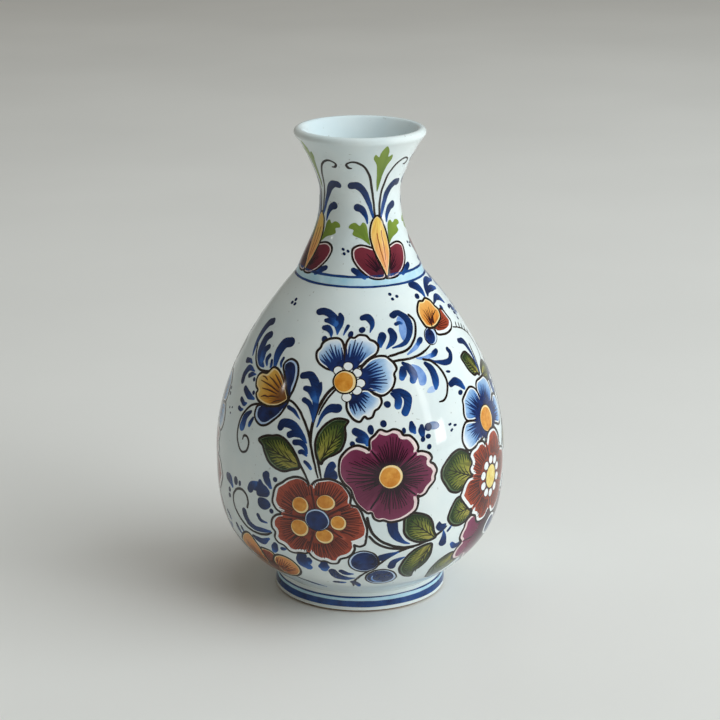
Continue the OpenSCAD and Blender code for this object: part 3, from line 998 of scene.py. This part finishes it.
def orange_bud(sheet):
    """The orange bud with its red petal, a navy berry below and strokes over it."""
    sheet.strokes(
        "cobalt",
        [(8, 25, 2.8), (10.4, 23.8, 3.4), (12.3, 21.4, 2.6), (12.9, 19, 1)],
        [(15, 19, 1.2), (16.2, 21.2, 3.2), (18, 23.6, 3.2), (21.4, 23.8, 2.6), (25.4, 22.4, 1)],
        [(16.6, 20.6, 2.2), (20.4, 20.6, 2.6), (25, 19.4, 1)],
        [(17.3, 15.5, 1.2), (20.2, 16.9, 2.6), (23.2, 15.9, 2.4), (26, 13.2, 0.8)],
        [(20.6, 13, 1.4), (21.2, 12.6, 1.4), (22, 12, 0.7)])
    sheet.spots(("cobalt", 8.8, 20, 1.2), ("ink", 8.8, 4.2, 3.1, 3.5),
                ("haze", 8.9, 4.2, 2.75, 3.15), ("navy", 8.5, 4.1, 2.3, 2.9))
    red = [(12.5, 6.7), (15.4, 8.6), (18.2, 12), (20.9, 12), (22.5, 9.4), (24, 6.7),
           (23.2, 4.8), (20.9, 3.6), (17, 3.2), (12.8, 4), (11.9, 6)]
    sheet.petal(red, (11, 7), (0, 12), "brick", "rim", 0.5, lean=(-0.4, 0.7))
    sheet.hairs("maroon", (11, 7), (-16, 30, 7), 3, (8, 9), 0.3, 0.6)
    bud = [(8.6, 17.8), (6.7, 15.5), (6.2, 12.8), (7.1, 9.8), (8.2, 7.8), (11.3, 6.9),
           (14.8, 7.8), (17.8, 9.8), (18.2, 12.5), (16.7, 14.4), (15.3, 16.7),
           (12.8, 18.4), (10.9, 17.8)]
    sheet.petal(bud, (12, 6), (0, 13), "amber", "cream", 0.45)
    sheet.line(0.6, (10.9, 7.5), (11.4, 9.4), (12.8, 10.8), (15.9, 12.7))
    sheet.hairs("maroon", (11.6, 6), (66, 116, 7), 2.6, (7, 8.5), 0.5, 0.6)


# ---------------------------------------------------------------- the painting: right side

def tall_blue_flower(sheet):
    """The blue flower on the right side of the vase, seen edge-on in the picture."""
    heart = (4.9, 8.8)
    petals = [
        [(-8.3, 11.7), (-9, 14), (-7.9, 17.2), (-7.4, 19.2), (-4.5, 21.3), (-1.3, 22.6),
         (1.5, 21.7), (3, 19.5), (3.7, 17.2), (3.3, 14.9), (1.6, 12.6), (-1.3, 10.6),
         (-5.8, 10.6)],
        [(-8.1, 11.1), (-10.8, 9.5), (-12.4, 6.3), (-12.4, 3.5), (-10.8, 1), (-8.5, 0.4),
         (-5.8, 1), (-3.1, 2.2), (-0.8, 2.6), (1.6, 4.4), (0.6, 7.4), (-2.6, 9.8)],
        [(4, 14), (3.5, 17), (3.2, 20.8), (5.1, 23.1), (8.7, 23.3), (12.4, 23.3),
         (15.1, 21.3), (16.5, 19), (16.4, 16), (13.4, 13), (9, 12)],
        [(9.6, 11.6), (13.4, 12.6), (17, 14.4), (20.4, 13.4), (22.4, 10.2), (22.2, 6.6),
         (20.6, 3.6), (17, 2.8), (13, 4.4), (9.6, 6.4)],
        [(2.6, 4.2), (0.8, 0.6), (1.4, -3), (4, -5.4), (7, -4.8), (9.4, -6), (12.8, -4.4),
         (14.2, -1.2), (12.4, 2), (8.6, 4.4)],
    ]
    for outline in petals:
        sheet.petal(outline, heart, (4.5, 18), "blue", band=0.5)
    for aims, ends in (((104, 164, 12), (9, 13.5)), ((168, 222, 11), (9, 14)),
                       ((44, 98, 11), (9, 13.5)), ((-24, 36, 12), (9, 14)),
                       ((-114, -48, 12), (8, 12))):
        sheet.hairs("navy", heart, aims, 5.2, ends, 0.95)
    sheet.spots(("navy", *heart, 7.6), ("ink", *heart, 5.3), ("cream", *heart, 4.8),
                ("orange", 4.7, 8.6, 4.4))


def tall_red_flower(sheet):
    """The red flower below it, with a ring of white dots round its heart."""
    heart = (4.4, -13.7)
    outline = [
        (0.9, 0), (-1.3, 1.7), (-4, 2), (-5.8, 0.8), (-8.5, 0.1), (-9.9, -1.9), (-9, -4.6),
        (-10.4, -6.5), (-9.9, -8.3), (-8.4, -9.7), (-11.3, -9.9), (-13.5, -11.9),
        (-14.5, -14.2), (-15.4, -16), (-14.5, -17.8), (-12.6, -20.1), (-10.4, -22.4),
        (-8.3, -22.8), (-8.5, -25.1), (-5.8, -26.5), (-4.5, -29.2), (-1.3, -30.1),
        (1.9, -29.4), (4.4, -27), (7, -29.6), (11, -29.4), (14.4, -27), (16.6, -23.4),
        (17.6, -19.6), (20.8, -17.2), (21.8, -13.6), (20.8, -9.6), (18, -6.4),
        (14.6, -5.2), (14, -1.9), (12.4, 1.3), (9.6, 3.8), (6, 4.2), (3.3, 3.1), (2.1, 1.3)]
    sheet.petal(outline, heart, (4, 18), "brick", "rim", 0.9, lean=(0.5, 0))
    notches(sheet, "brick", "maroon", heart, (1.3, 0.2), (-8.6, -9.8), (-8.4, -23),
            (4.4, -26.8), (17.4, -19.4), (14.4, -5.4))
    for first, last in ((102, 158), (166, 212), (222, 262), (276, 330), (-16, 30), (40, 92)):
        sheet.hairs("maroon", heart, (first, last, 14), 9, (13.6, 15.6), 0.46, 0.7, 0.3)
    for turn in range(0, 360, 36):
        aim = math.radians(turn + 20)
        x, y = heart[0] + 6.3 * math.cos(aim), heart[1] + 6.6 * math.sin(aim)
        sheet.spots(("maroon", x, y, 1.9), ("rim", x, y, 1.55))
    sheet.spots(("ink", *heart, 4.6, 5.1), ("yellow", *heart, 3.9, 4.5))


def tall_plum_flower(sheet):
    """The plum flower low on the right side, of which the picture shows an edge."""
    heart = (9, -35)
    outline = [(-7.5, -25.2), (-9.4, -25.8), (-11.3, -27.4), (-11.7, -29.6), (-12.6, -31.5),
               (-12.6, -34), (-10.8, -36.4), (-12.2, -39), (-12, -42.6), (-9.4, -45.6),
               (-5.6, -46.6), (-3.4, -45.6), (-1.8, -48.6), (2.4, -51), (7, -51.4),
               (11.6, -50), (13.4, -47.6), (17, -48.2), (21, -45.8), (23.4, -41.6),
               (22.6, -37), (24.6, -33), (24, -28), (21, -24.4), (17, -23), (12, -22),
               (4, -21.6), (-1, -22.4), (-4.6, -24)]
    sheet.petal(outline, heart, (4, 19), "plum", "pink_rim", 0.7, lean=(0.4, 0))
    notches(sheet, "plum", "wine", heart, (-10.4, -36.3), (-3.2, -45.2), (13.2, -47.2),
            (22, -37))
    for first in (8, 66, 124, 186, 232, 290):
        sheet.hairs("wine", heart, (first + 2, first + 56, 12), 5, (10, 13), 0.5, 1.2, 0.3)
    sheet.spots(("ink", *heart, 5.1), ("rim", *heart, 4.6), ("navy", 9.2, -35.2, 3.8))


def near_leaves(sheet):
    """The two leaves between the front bouquet and the column of flowers."""
    leaf(sheet, [(-9.5, -9.6), (-8.6, -5), (-10.4, -0.5), (-14.5, 2), (-18.5, 1.3),
                 (-22.2, -1.5), (-24, -3.7), (-24.4, -6.6), (-23.1, -9.2), (-20.4, -12.8),
                 (-16.7, -14), (-14, -12.8), (-11.6, -10.6)], (-9.5, -9.4), (-23, -3.5), 6)
    leaf(sheet, [(-14.6, -16.4), (-17, -16.2), (-19, -18.3), (-20.4, -21), (-20.8, -23.7),
                 (-18.5, -26.5), (-14.9, -27.6), (-11.3, -26.5), (-9, -23.7), (-12, -19.6)],
         (-10.6, -22), (-19.5, -22.5), 5, 3)


def tall_leaves(sheet):
    """Leaves, a tendril and dots round the column of flowers."""
    leaf(sheet, [(1, 34), (1.5, 31.3), (2.8, 28.1), (5.1, 25.6), (7.8, 25.4), (9.6, 24.5),
                 (11, 26.7), (9.6, 29.5), (7.8, 32.6), (5, 35)], (8.6, 25.6), (2, 33.6), 3.6)
    leaf(sheet, [(12.4, 24.4), (15, 26.8), (19, 27.4), (22.6, 25.4), (24.4, 22.4),
                 (22, 20), (17, 20.2), (13.6, 21.8)], (12.6, 23.6), (24, 22.6), 3.6)
    leaf(sheet.at(45, 30), [(-5.4, -19.4), (-8.4, -12), (-7.4, -6.6), (-3.4, -4), (1.6, -4.4),
                            (4, -6.4), (4.4, -10), (2, -15.4), (-2, -19.2)],
         (3, -5), (-5, -19), 5)
    sheet.at(*COLUMN_AT)
    sheet.line(0.6, (5.6, 45), (9.7, 43.8), (13.9, 41.7), (17.6, 38.9), (20, 35), (20.6, 30.8),
               (18, 27.6), (12.8, 24.6))
    for x, y in ((8.4, 44.2), (11, 43.2), (13.4, 42), (15.8, 40.4), (18, 38.2)):
        sheet.stroke("ink", (x, y, 0.5), (x + 0.6, y + 1, 0.8), (x + 1.4, y + 1.8, 0.3))
    sheet.stroke("cobalt", (4.6, 39.6, 2.2), (7.8, 38.4, 2.6), (9.6, 35, 2), (10.4, 31, 1.4),
                 (10.2, 25.6, 0.6))
    sheet.line(0.7, (12.4, 36), (11.8, 30), (10.8, 24.6))
    leaf(sheet, [(21, -3), (24.6, -0.4), (29, 0.4), (33, -1.6), (34.6, -5.4), (32, -8.8),
                 (27.4, -9.8), (23.4, -8.2)], (21.4, -5), (34, -5.2), 5)
    sheet.dots("cobalt", 0.5, (-17.3, 12.1), (-15, 11.4), (-17.1, 9.7))
    sheet.stroke("cobalt", (-10.6, -36, 2), (-14, -37, 2.4), (-16.6, -35, 1.4))


def far_leaf(sheet):
    """What the column on the other side has in place of the spray."""
    leaf(sheet, [(19.6, -22), (22.6, -20.4), (26.6, -20.8), (29.8, -23.4), (30.6, -27.4),
                 (27.4, -29.8), (23, -29), (20, -26)], (19.6, -23), (30, -27), 4.6)
    sheet.strokes(
        "cobalt",
        [(24, 14, 2.6), (26.6, 11, 2.4), (26.4, 7, 1.6), (24.6, 3.6, 0.6)],
        [(29, 10, 2.2), (29.8, 6.6, 2), (28, 3.4, 0.8)],
        [(21, 22, 2.4), (24.4, 21.4, 2.6), (26.4, 18.4, 1.6), (25.6, 15.6, 0.6)],
        [(22, -35, 2.4), (24.6, -37.6, 2.4), (23.6, -41, 1)])


# ---------------------------------------------------------------- the painting: low strokes

def berries(sheet):
    """Two navy berries, the low stems and leaves, and the strokes along the foot."""
    sheet.line(1.1, (2.6, -13), (3.4, -16.5), (5.4, -20.4), (9.6, -23.8), (15.5, -26),
               (21, -26), (26, -24.6), (30.5, -22.6), (34, -20.4))
    sheet.line(1.0, (3.4, -20.5), (6, -23.4), (10, -25.6), (15, -26.6), (20, -26.6))
    sheet.line(1.0, (19, -26.4), (14, -28), (9.6, -31), (5.6, -35), (1.6, -39),
               (-1.2, -43), (-2.4, -47), (-2.4, -50))
    leaf(sheet, [(16.2, -17.2), (16.6, -13.8), (19, -12.4), (22, -12.8), (25.6, -14.4),
                 (27.6, -17.2), (28.4, -21.2), (29.2, -23.8), (26, -24.8), (22, -24.6),
                 (18.6, -23), (16.4, -20.2)], (28.6, -23.8), (17.5, -14), 6.2)
    leaf(sheet, [(27.4, -26.4), (27.4, -30.4), (25.8, -34.6), (22.8, -38.2), (20.2, -40.6),
                 (19.2, -44.4), (16.6, -43), (15, -40), (14.8, -36.5), (16.6, -32.2),
                 (19.6, -28.6), (23.4, -26.8)], (27, -27), (18.2, -43.4), 4.8)
    sheet.strokes(
        "cobalt",
        [(11.8, -16, 4.2), (12.6, -19.8, 3.6), (15.5, -23.2, 1.8), (18.4, -24.8, 0.5)],
        [(32.4, -27.2, 3.4), (32.9, -24.2, 2), (32.6, -22, 0.6)],
        [(34.6, -22.6, 1), (35.6, -21.6, 1), (36.2, -20.8, 0.6)],
        [(7.8, -30.2, 3), (10.6, -29.2, 2.4), (14.2, -28, 0.6)],
        [(11.6, -35.2, 3), (12.6, -32.8, 2.6), (16.6, -30.8, 0.5)],
        [(-22.4, -31.4, 3.4), (-21.8, -34.6, 4.4), (-19.4, -37.2, 3.2)],
        [(-19.4, -32.4, 1.8), (-18.9, -33.4, 2), (-18.8, -34.6, 1.4)],
        [(-13.4, -34, 3), (-13.4, -35.8, 4.6), (-13.3, -37.2, 3)],
        [(-10.2, -38.2, 3.2), (-8.4, -41.4, 3.8), (-5, -43, 2.8), (-2, -42.4, 0.6)],
        [(-7, -37.6, 2), (-5, -39.2, 2.3), (-2.6, -39.4, 0.8)],
        [(-9.4, -46.8, 1.8), (-6.6, -47, 1.8), (-5.6, -46.8, 1.2)],
        [(-2.4, -46, 2.4), (-0.8, -48.4, 2.2), (-0.4, -50.4, 1.4)])
    sheet.blob("cobalt", (29.2, -19.8), (30.6, -17.6), (31.8, -18.8), (33.8, -19.2),
               (33, -21.2), (30.6, -21.6))
    sheet.spots(("ink", 1.4, -32.2, 5.9, 5.8), ("haze", 1.3, -32.1, 5.2, 5.1),
                ("navy", 1.6, -32.1, 4.9, 4.8), ("ink", 7.8, -42.4, 6.1, 6),
                ("haze", 7.9, -42.5, 5.4, 5.3), ("navy", 7.6, -42.2, 5, 4.8))
    sheet.stroke("sky", (4.6, -41, 0.4), (4.4, -43.4, 0.7), (5.6, -45.4, 0.9), (8, -46, 0.4))
    sheet.stroke("cobalt", (-0.8, -31.4, 0.5), (0, -32.8, 0.7), (0.6, -31.8, 0.5))


def loop_spray(sheet):
    """The looped tendril low on the left, with its dark strokes."""
    sheet.line(1.0, (-3.5, 3.7), (-2.8, 6), (-3.6, 8.6), (-6.2, 10), (-9.4, 9.4), (-12.3, 7),
               (-13.2, 4), (-12.4, 1), (-10, -1.6), (-7, -3.8), (-4, -5.3), (-0.5, -5.8),
               (3, -5.7), (6, -4.8), (8.5, -3.4))
    sheet.strokes(
        "cobalt",
        [(-17, 11.8, 3.4), (-15.4, 11.4, 4.2), (-13.4, 9.4, 1.8)],
        [(-5.6, 1.6, 2.8), (-5, -0.6, 2.8), (-3, -2.8, 2.6), (0, -3.8, 2.2), (4, -3.6, 2),
         (8, -3, 0.8)],
        [(2.4, 2.2, 1.8), (3.8, 0.6, 1.6), (6.8, 0.3, 0.6)],
        [(-1.4, 11.6, 3), (0, 13.4, 3.4), (3, 13.8, 4)],
        [(7, 18.8, 3.2), (8, 16.8, 3), (9.6, 14.8, 1)],
        [(-2.4, -8, 1.4), (0, -8.8, 2.6), (3, -8.8, 2.8), (6.5, -6.6, 1)],
        [(9, -8.6, 2.2), (8, -10.5, 3.2), (7, -12.2, 2)],
        [(20.6, -10.8, 2.4), (18.6, -13.2, 3.8), (18.4, -16, 4.2), (19.8, -17.8, 2)],
        [(22, -12.6, 1.9), (21.6, -13.6, 1.9), (21.2, -14.4, 1)],
        [(11.6, -9.8, 1.6), (12.6, -9.6, 1.5), (13.4, -9.4, 0.8)],
        [(8.5, -28.6, 0.8), (13.4, -31.5, 1.6), (17.4, -34, 0.5)],
        [(-13.4, -6.6, 1.6), (-12.4, -8.6, 2), (-11, -10.4, 1)],
        [(-9.8, -6.4, 1.2), (-9, -7.8, 1.4), (-8.2, -8.8, 0.8)],
        [(-21, -3.6, 1.4), (-19.6, -4.6, 1.6), (-18.6, -6.4, 0.8)])
    sheet.blob("cobalt", (2.6, 10.2), (2.2, 12.4), (3.2, 13.8), (3.4, 16.4), (4.6, 16.8),
               (6, 15.4), (7.6, 14.6), (9, 12.8), (7.8, 10.8), (5.2, 10.2))
    sheet.blob("cobalt", (2.8, 6.8), (3, 9.2), (5.4, 10), (8.2, 9.4), (9.2, 7.6), (7, 5.6),
               (4.6, 5.4))
    sheet.spots(("cobalt", -10.5, 12.2, 1.4, 1.8, -14), ("cobalt", -7.8, 12, 0.8, 1.2, -10))
    sheet.dots("cobalt", 1.0, (-16, 7), (-16.3, 4.6), (9.4, 5.6), (11.4, 18.4))


def orange_flower(sheet):
    """The orange and red petals that turn under on the left, above the foot."""
    heart = (0.6, -28)
    petals = [
        ("brick", [(-2.6, -28), (-1.9, -17), (-1, -13.5), (1.5, -12.6), (5, -13),
                   (6.2, -15), (5, -20), (4.2, -28)]),
        ("copper", [(-1.6, -23), (-6, -20.8), (-11, -18.4), (-13.6, -15), (-12, -11.8),
                   (-8.6, -8.6), (-5.2, -7.6), (-2.8, -9.6), (-1, -13), (-0.6, -18)]),
        ("copper", [(-3, -24), (-8, -22), (-13, -22.6), (-17, -25), (-18, -28.4),
                   (-14, -30.4), (-8, -29.6), (-3, -28)]),
        ("copper", [(3, -28), (3.2, -20), (5.2, -15.8), (8, -13.8), (11, -13.6),
                   (13.8, -15), (15.2, -18), (14.6, -21.2), (12.6, -24.2), (9.6, -26.8),
                   (6, -28.4)]),
    ]
    for paint, outline in petals:
        sheet.petal(outline, heart, (2, 18), paint, "cream", 0.3)
    sheet.hairs("maroon", heart, (74, 104, 8), 6, (11, 14), 0.4, 0.6)
    sheet.hairs("umber", heart, (28, 66, 11), 6, (14, 15.5), 0.5, 0.8)
    sheet.hairs("umber", heart, (112, 136, 9), 6, (16, 18), 0.5, 0.8)
    sheet.hairs("umber", heart, (158, 190, 7), 6, (13, 15), 0.5, 0.8)


def plum_strokes(sheet):
    """The strokes over the plum flower and the far side of it."""
    sheet.strokes(
        "cobalt",
        [(-13.2, 17.2, 3), (-11, 16, 3.2), (-9.6, 13.6, 3), (-9.4, 12.6, 1.4)],
        [(-12.4, 14.2, 2.2), (-10.6, 14, 2.4), (-9.8, 13.4, 1.6)],
        [(11.4, 17.6, 1.6), (11.3, 15.8, 2.8), (11.8, 13, 1)],
        [(7.4, 19.2, 1.6), (7.8, 17, 2.8), (8.6, 15.6, 1.2)])
    sheet.spots(("cobalt", -14.6, 12.8, 1), ("cobalt", -7.8, 17.8, 1.2, 1.8),
                ("cobalt", -3, 19.8, 1.2, 1.3), ("cobalt", 4.4, 16.8, 0.8, 1.2),
                ("slate", 16.2, 17.1, 2.7, 1.5, -6), ("cobalt", 14, 16.9, 1.5, 1.5),
                ("cobalt", 13.8, 13.6, 1.1, 0.9))
    sheet.dots("cobalt", 1.0, (14, 9.8), (11.6, 12.8))
    sheet.dots("cobalt", 0.5, (24, 16.2), (26.4, 15.4), (24.6, 14))


# ---------------------------------------------------------------- the painting: neck

NECK_AT = 146.0             # height on the vase that the motifs of the neck are drawn round
NECK_R = 16.0
MOTIFS = 4
MOTIF_TURN = 24.1           # middle of the first motif, degrees round


def neck_motif(sheet, angle):
    """A tall bud between two plum lobes, under scrolls and a green sprig."""
    for side in (False, True):
        sheet.at(angle, NECK_AT, mirror=side)
        sheet.line(0.85, (0.9, 3.6), (1.3, 9.5), (2.3, 14.5), (3.7, 19.2), (6, 23), (9, 25.2),
                   (11.5, 25.6), (13.2, 24.4), (12.2, 23), (10.9, 22.8))
        sheet.strokes(
            "cobalt",
            [(9.8, 15.3, 2.9), (7.6, 15.2, 2.8), (5, 12.8, 2.4), (3, 8.4, 1.8), (1.6, 3, 0.8)],
            [(7.2, 6.9, 2.9), (5.6, 6, 2.5), (4.3, 3.6, 1.5), (3.9, 1, 0.6)],
            [(11.4, -16.4, 2.2), (9.8, -17.4, 2.4), (8, -19, 1.6)])
        sheet.blob("sprig", (3.9, -7), (4, -3), (4.4, 0.4), (5.6, 1.4), (6.8, 0.2), (8.4, 1.2),
                   (10.2, 0.6), (10.9, -0.8), (9.2, -1.4), (9.8, -3), (8.4, -4), (6.4, -4.8),
                   (5, -6))
        lobe = [(0.2, -19.5), (4.4, -19.6), (7.8, -17.6), (10.4, -14), (11, -10.6),
                (10.2, -8.2), (7.6, -7), (4.6, -7.6), (1.8, -9), (0, -12), (-0.4, -16)]
        sheet.petal(lobe, (1, -19), (0, 13), "cherry", "pink_rim", 0.4, 0.8)
        sheet.hairs("wine", (0.6, -19), (38, 78, 8), 3, (7, 9), 0.4)
    sheet.at(angle, NECK_AT)
    sheet.blob("sprig", (0, 12.6), (-0.8, 17), (-1.3, 21), (-2, 24.2), (-3.7, 27), (-3.4, 29),
               (-1.8, 27.8), (-1.5, 30), (0.2, 33), (1.7, 30.2), (1.9, 27.6), (3.5, 28.4),
               (3.6, 26.4), (2.4, 24), (1.5, 21), (0.9, 17))
    bud = [(0, 3.6), (-2, 1.8), (-3.2, -2), (-3.3, -6.4), (-2.4, -10.6), (-0.9, -15),
           (0.8, -19.2), (2.4, -15), (3.5, -10.6), (3.6, -6.4), (3.1, -2), (1.9, 1.8)]
    sheet.petal(bud, (0.4, 4), (0, 23), "nectar", "cream", 0.25, 0.75)
    sheet.line(0.4, (-0.6, -3), (-0.2, -9), (0.7, -15.6), paint="rust")
    sheet.line(0.35, (1.2, -2), (1.4, -8), (1.2, -13), paint="rust")
    sheet.dots("cobalt", 0.62, (-14.2, -8.7), (-14, -10.3), (-12.4, -9.3))


def neck_painting():
    """The same motif four times round the neck."""
    for k in range(MOTIFS):
        sheet = Sheet("neck_motif_%d" % (k + 1), NECK_R, seed=40 + k)
        neck_motif(sheet, MOTIF_TURN + k * 360 / MOTIFS)
        sheet.wrap()


# ---------------------------------------------------------------- the painting: belly

BOUQUET_R = 50.0
COLUMN_R = 52.0
COLUMN_AT = (58, 66)        # degrees round and height that the column is drawn round


def bouquet(name, spin, mirror, seed):
    """The main bouquet: drawn for the front, and mirrored on the back of the vase."""
    sheet = Sheet(name, BOUQUET_R, spin, mirror, seed)
    stems(sheet.at(-22, 73))
    crest(sheet.at(-8, 116))
    sheet.at(-53, 118).dots("cobalt", 0.75, (0, 1), (-1.1, -0.5), (0.8, -0.7))
    sheet.at(-75, 82).dots("cobalt", 0.8, (0, 1.2), (-1, -0.6), (1.2, -0.8))
    feathers(sheet.at(30, 104))
    orange_bud(sheet.at(30, 104))
    shell_bud(sheet.at(-38, 92))
    loop_spray(sheet.at(-46, 40))
    orange_flower(sheet.at(-46, 40))
    berries(sheet.at(0, 60))
    plum_strokes(sheet.at(13, 62))
    blue_flower(sheet.at(-6.2, 95.2))
    plum_flower(sheet.at(13, 62))
    red_flower(sheet.at(-16.5, 45))
    sheet.wrap()


def side_spray(sheet):
    """What grows from the column to the right: a bud, berries, leaves and a tendril."""
    sheet.at(80, 66)
    sheet.line(0.95, (10.3, 13.2), (8.4, 8), (5, 3), (0, -3), (-6, -8))
    crest(sheet.at(88, 112.5, size=0.55))
    shell_bud(sheet.at(94.5, 83, mirror=True, size=0.8))
    loop_spray(sheet.at(111, 44, mirror=True))
    berries(sheet.at(72, 60))


def side_column(name, spin, mirror, seed):
    """Three flowers one above another on the side of the vase."""
    sheet = Sheet(name, COLUMN_R, spin, mirror, seed)
    tall_leaves(sheet.at(*COLUMN_AT))
    if mirror:
        far_leaf(sheet)
    else:
        near_leaves(sheet)
        side_spray(sheet)
    sheet.at(*COLUMN_AT)
    tall_plum_flower(sheet)
    tall_blue_flower(sheet)
    tall_red_flower(sheet)
    sheet.wrap()


# ---------------------------------------------------------------- painted rings

RING_TURNS = 360      # straight pieces round a ring
RING_ROW = 1.0        # spacing of the rows across it, mm
RING_WAVER = 0.06     # how unsteady its edges are, mm
RING_WAVES = (2, 3, 5, 8, 13, 21, 34)    # waves of an edge in one turn
RING_SHARP = 60
WASH_PROUD = 0.03
RINGS = [             # CAD node, heights of its two edges, paint, slot, height above the glaze
    ("shoulder_line_lower", 124.85, 125.55, BLUE_LINE, "blue_line", PROUD),
    ("shoulder_line_upper", 128.15, 129.05, BLUE_LINE, "blue_line", PROUD),
    ("shoulder_wash", 125.55, 128.25, BLUE_WASH, "blue_wash", WASH_PROUD),
    ("foot_band", 2.1, 4.5, BLUE_LINE, "blue_line", PROUD),
    ("foot_line", 5.6, 6.2, BLUE_LINE, "blue_line", PROUD),
    ("foot_wash", 4.4, 5.7, BLUE_WASH, "blue_wash", WASH_PROUD)]


def unsteady_edge(rng):
    """How far an edge strays up or down, right round the vase."""
    angle = np.arange(RING_TURNS) * 2 * math.pi / RING_TURNS
    wave = np.zeros(RING_TURNS)
    for k in RING_WAVES:
        wave += rng.normal() * np.sin(k * angle + rng.uniform(0, 6.28)) / (1 + k / 8)
    return wave * RING_WAVER


def ring_band(name, low, high, mat, slot, proud, seed):
    """A brushed line right round the vase, its edges a little unsteady."""
    angle = np.arange(RING_TURNS) * 2 * math.pi / RING_TURNS
    rng = np.random.default_rng(seed)
    edge = [unsteady_edge(rng), unsteady_edge(rng)]
    rows = max(2, int((high - low) / RING_ROW) + 1)
    verts = []
    for lift in (proud, -SUNK):
        for f in np.arange(rows) / (rows - 1):
            s = along_at(low) * (1 - f) + along_at(high) * f + edge[0] * (1 - f) + edge[1] * f
            r, z, n = side_at(s)
            r, z = r + n[:, 0] * lift, z + n[:, 1] * lift
            verts.append(np.stack([r * np.sin(angle), -r * np.cos(angle), z], -1))
    loop = list(range(rows)) + list(range(2 * rows - 1, rows - 1, -1))
    faces = []
    for a, b in zip(loop, loop[1:] + loop[:1]):
        for k in range(RING_TURNS):
            m = (k + 1) % RING_TURNS
            faces.append([row * RING_TURNS + turn for row, turn in ((a, k), (a, m), (b, m), (b, k))])
    piece = add_mesh(name, np.vstack(verts), faces, mat)
    sharpen(piece, RING_SHARP)
    return piece


def rings():
    """The blue lines and washes at the shoulder and on the foot."""
    for seed, (cad_node, *row) in enumerate(RINGS):
        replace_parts(ring_band("painted_" + cad_node, *row, seed), cad_node)


# ---------------------------------------------------------------- stage, light and camera

TABLE_R = 6.0         # metres
TABLE_SIDES = 96
ROOM_COLOUR = (1.0, 0.93, 0.80, 1)
ROOM_STRENGTH = 0.21
WALL_AT = (1.6, -0.5, 0.95)
# Name, place, aim and size in metres, watts, colour, and whether it shows in reflections.
LAMPS = [
    ("window", WALL_AT, (0, 0, 0.1), (2.2, 1.9), 32, (0.89, 0.97, 1), False),
    ("curtain", WALL_AT, (0, 0, 0.1), (2.2, 1.9), 9, (0.93, 0.985, 1), True),
    ("ceiling", (0.6, 0.1, 1.8), (0, 0, 0.05), (2.2, 2.2), 18, (0.90, 0.97, 1), False),
    ("glint", (0.80, -0.36, 0.17), (0, 0, 0.12), (0.15, 0.14), 0.5, (1, 0.93, 0.91), True),
    ("curtain_gap", (0.90, -0.56, 0.52), (0, 0, 0.16), (0.12, 0.55), 0.6, (1, 1, 1), True),
    ("lamp", (-0.827, -0.234, 0.42), (0, 0, 0.12), (0.025, 0.035), 0.05, (1, 1, 1), True)]
CAMERA_AT = (0, -0.7576, 0.323)
LOOK_DOWN = 17.1      # degrees
LENS, SENSOR = 104.0, 36.0


def placed(name, data):
    """A new object in the scene."""
    made = bpy.data.objects.new(name, data)
    bpy.context.collection.objects.link(made)
    return made


def stage():
    """A plain pale table, big enough to fill every view."""
    mesh = bpy.data.meshes.new("table")
    angles = [k * 2 * math.pi / TABLE_SIDES for k in range(TABLE_SIDES)]
    edge = [(TABLE_R * math.cos(a), TABLE_R * math.sin(a), 0) for a in angles]
    mesh.from_pydata(edge, [], [tuple(range(TABLE_SIDES))])
    mat, tree, shader = material("table_top", TABLE_ROUGH)
    cloud = stretch(tree, noise_at(tree, 3.0, 3.0), 0.3, 0.7)
    tree.links.new(mix(tree, cloud, "ecebe8", "e4e3e0"), shader.inputs["Base Color"])
    mesh.materials.append(mat)
    placed("table", mesh)


def lights():
    """A window wall on the right, dim in reflections, and small bright gaps beside it."""
    world = bpy.data.worlds.new("room")
    bpy.context.scene.world = world
    world.use_nodes = True
    back = world.node_tree.nodes["Background"]
    back.inputs["Color"].default_value = ROOM_COLOUR
    back.inputs["Strength"].default_value = ROOM_STRENGTH
    for name, place, aim, size, power, colour, glossy in LAMPS:
        light = bpy.data.lights.new(name, "AREA")
        light.shape = "RECTANGLE"
        light.size, light.size_y = size
        light.energy, light.color = power, colour
        lamp = placed(name, light)
        lamp.location = place
        lamp.rotation_euler = (Vector(aim) - Vector(place)).to_track_quat("-Z", "Y").to_euler()
        lamp.visible_glossy = glossy


def camera():
    """At the viewing angle of the picture: 0.82 m away, looking down by 17 degrees."""
    data = bpy.data.cameras.new("camera")
    data.lens, data.sensor_width = LENS, SENSOR
    lens = placed("camera", data)
    lens.location = CAMERA_AT
    lens.rotation_euler = (math.radians(90 - LOOK_DOWN), 0, 0)
    bpy.context.scene.camera = lens


round_bodies()
rings()
neck_painting()
bouquet("front", 0, False, 3)
bouquet("back", 170, True, 4)
side_column("right_side", 0, False, 5)
side_column("left_side", 332, True, 6)
stage()
lights()
camera()
bpy.context.scene.view_settings.view_transform = "Standard"
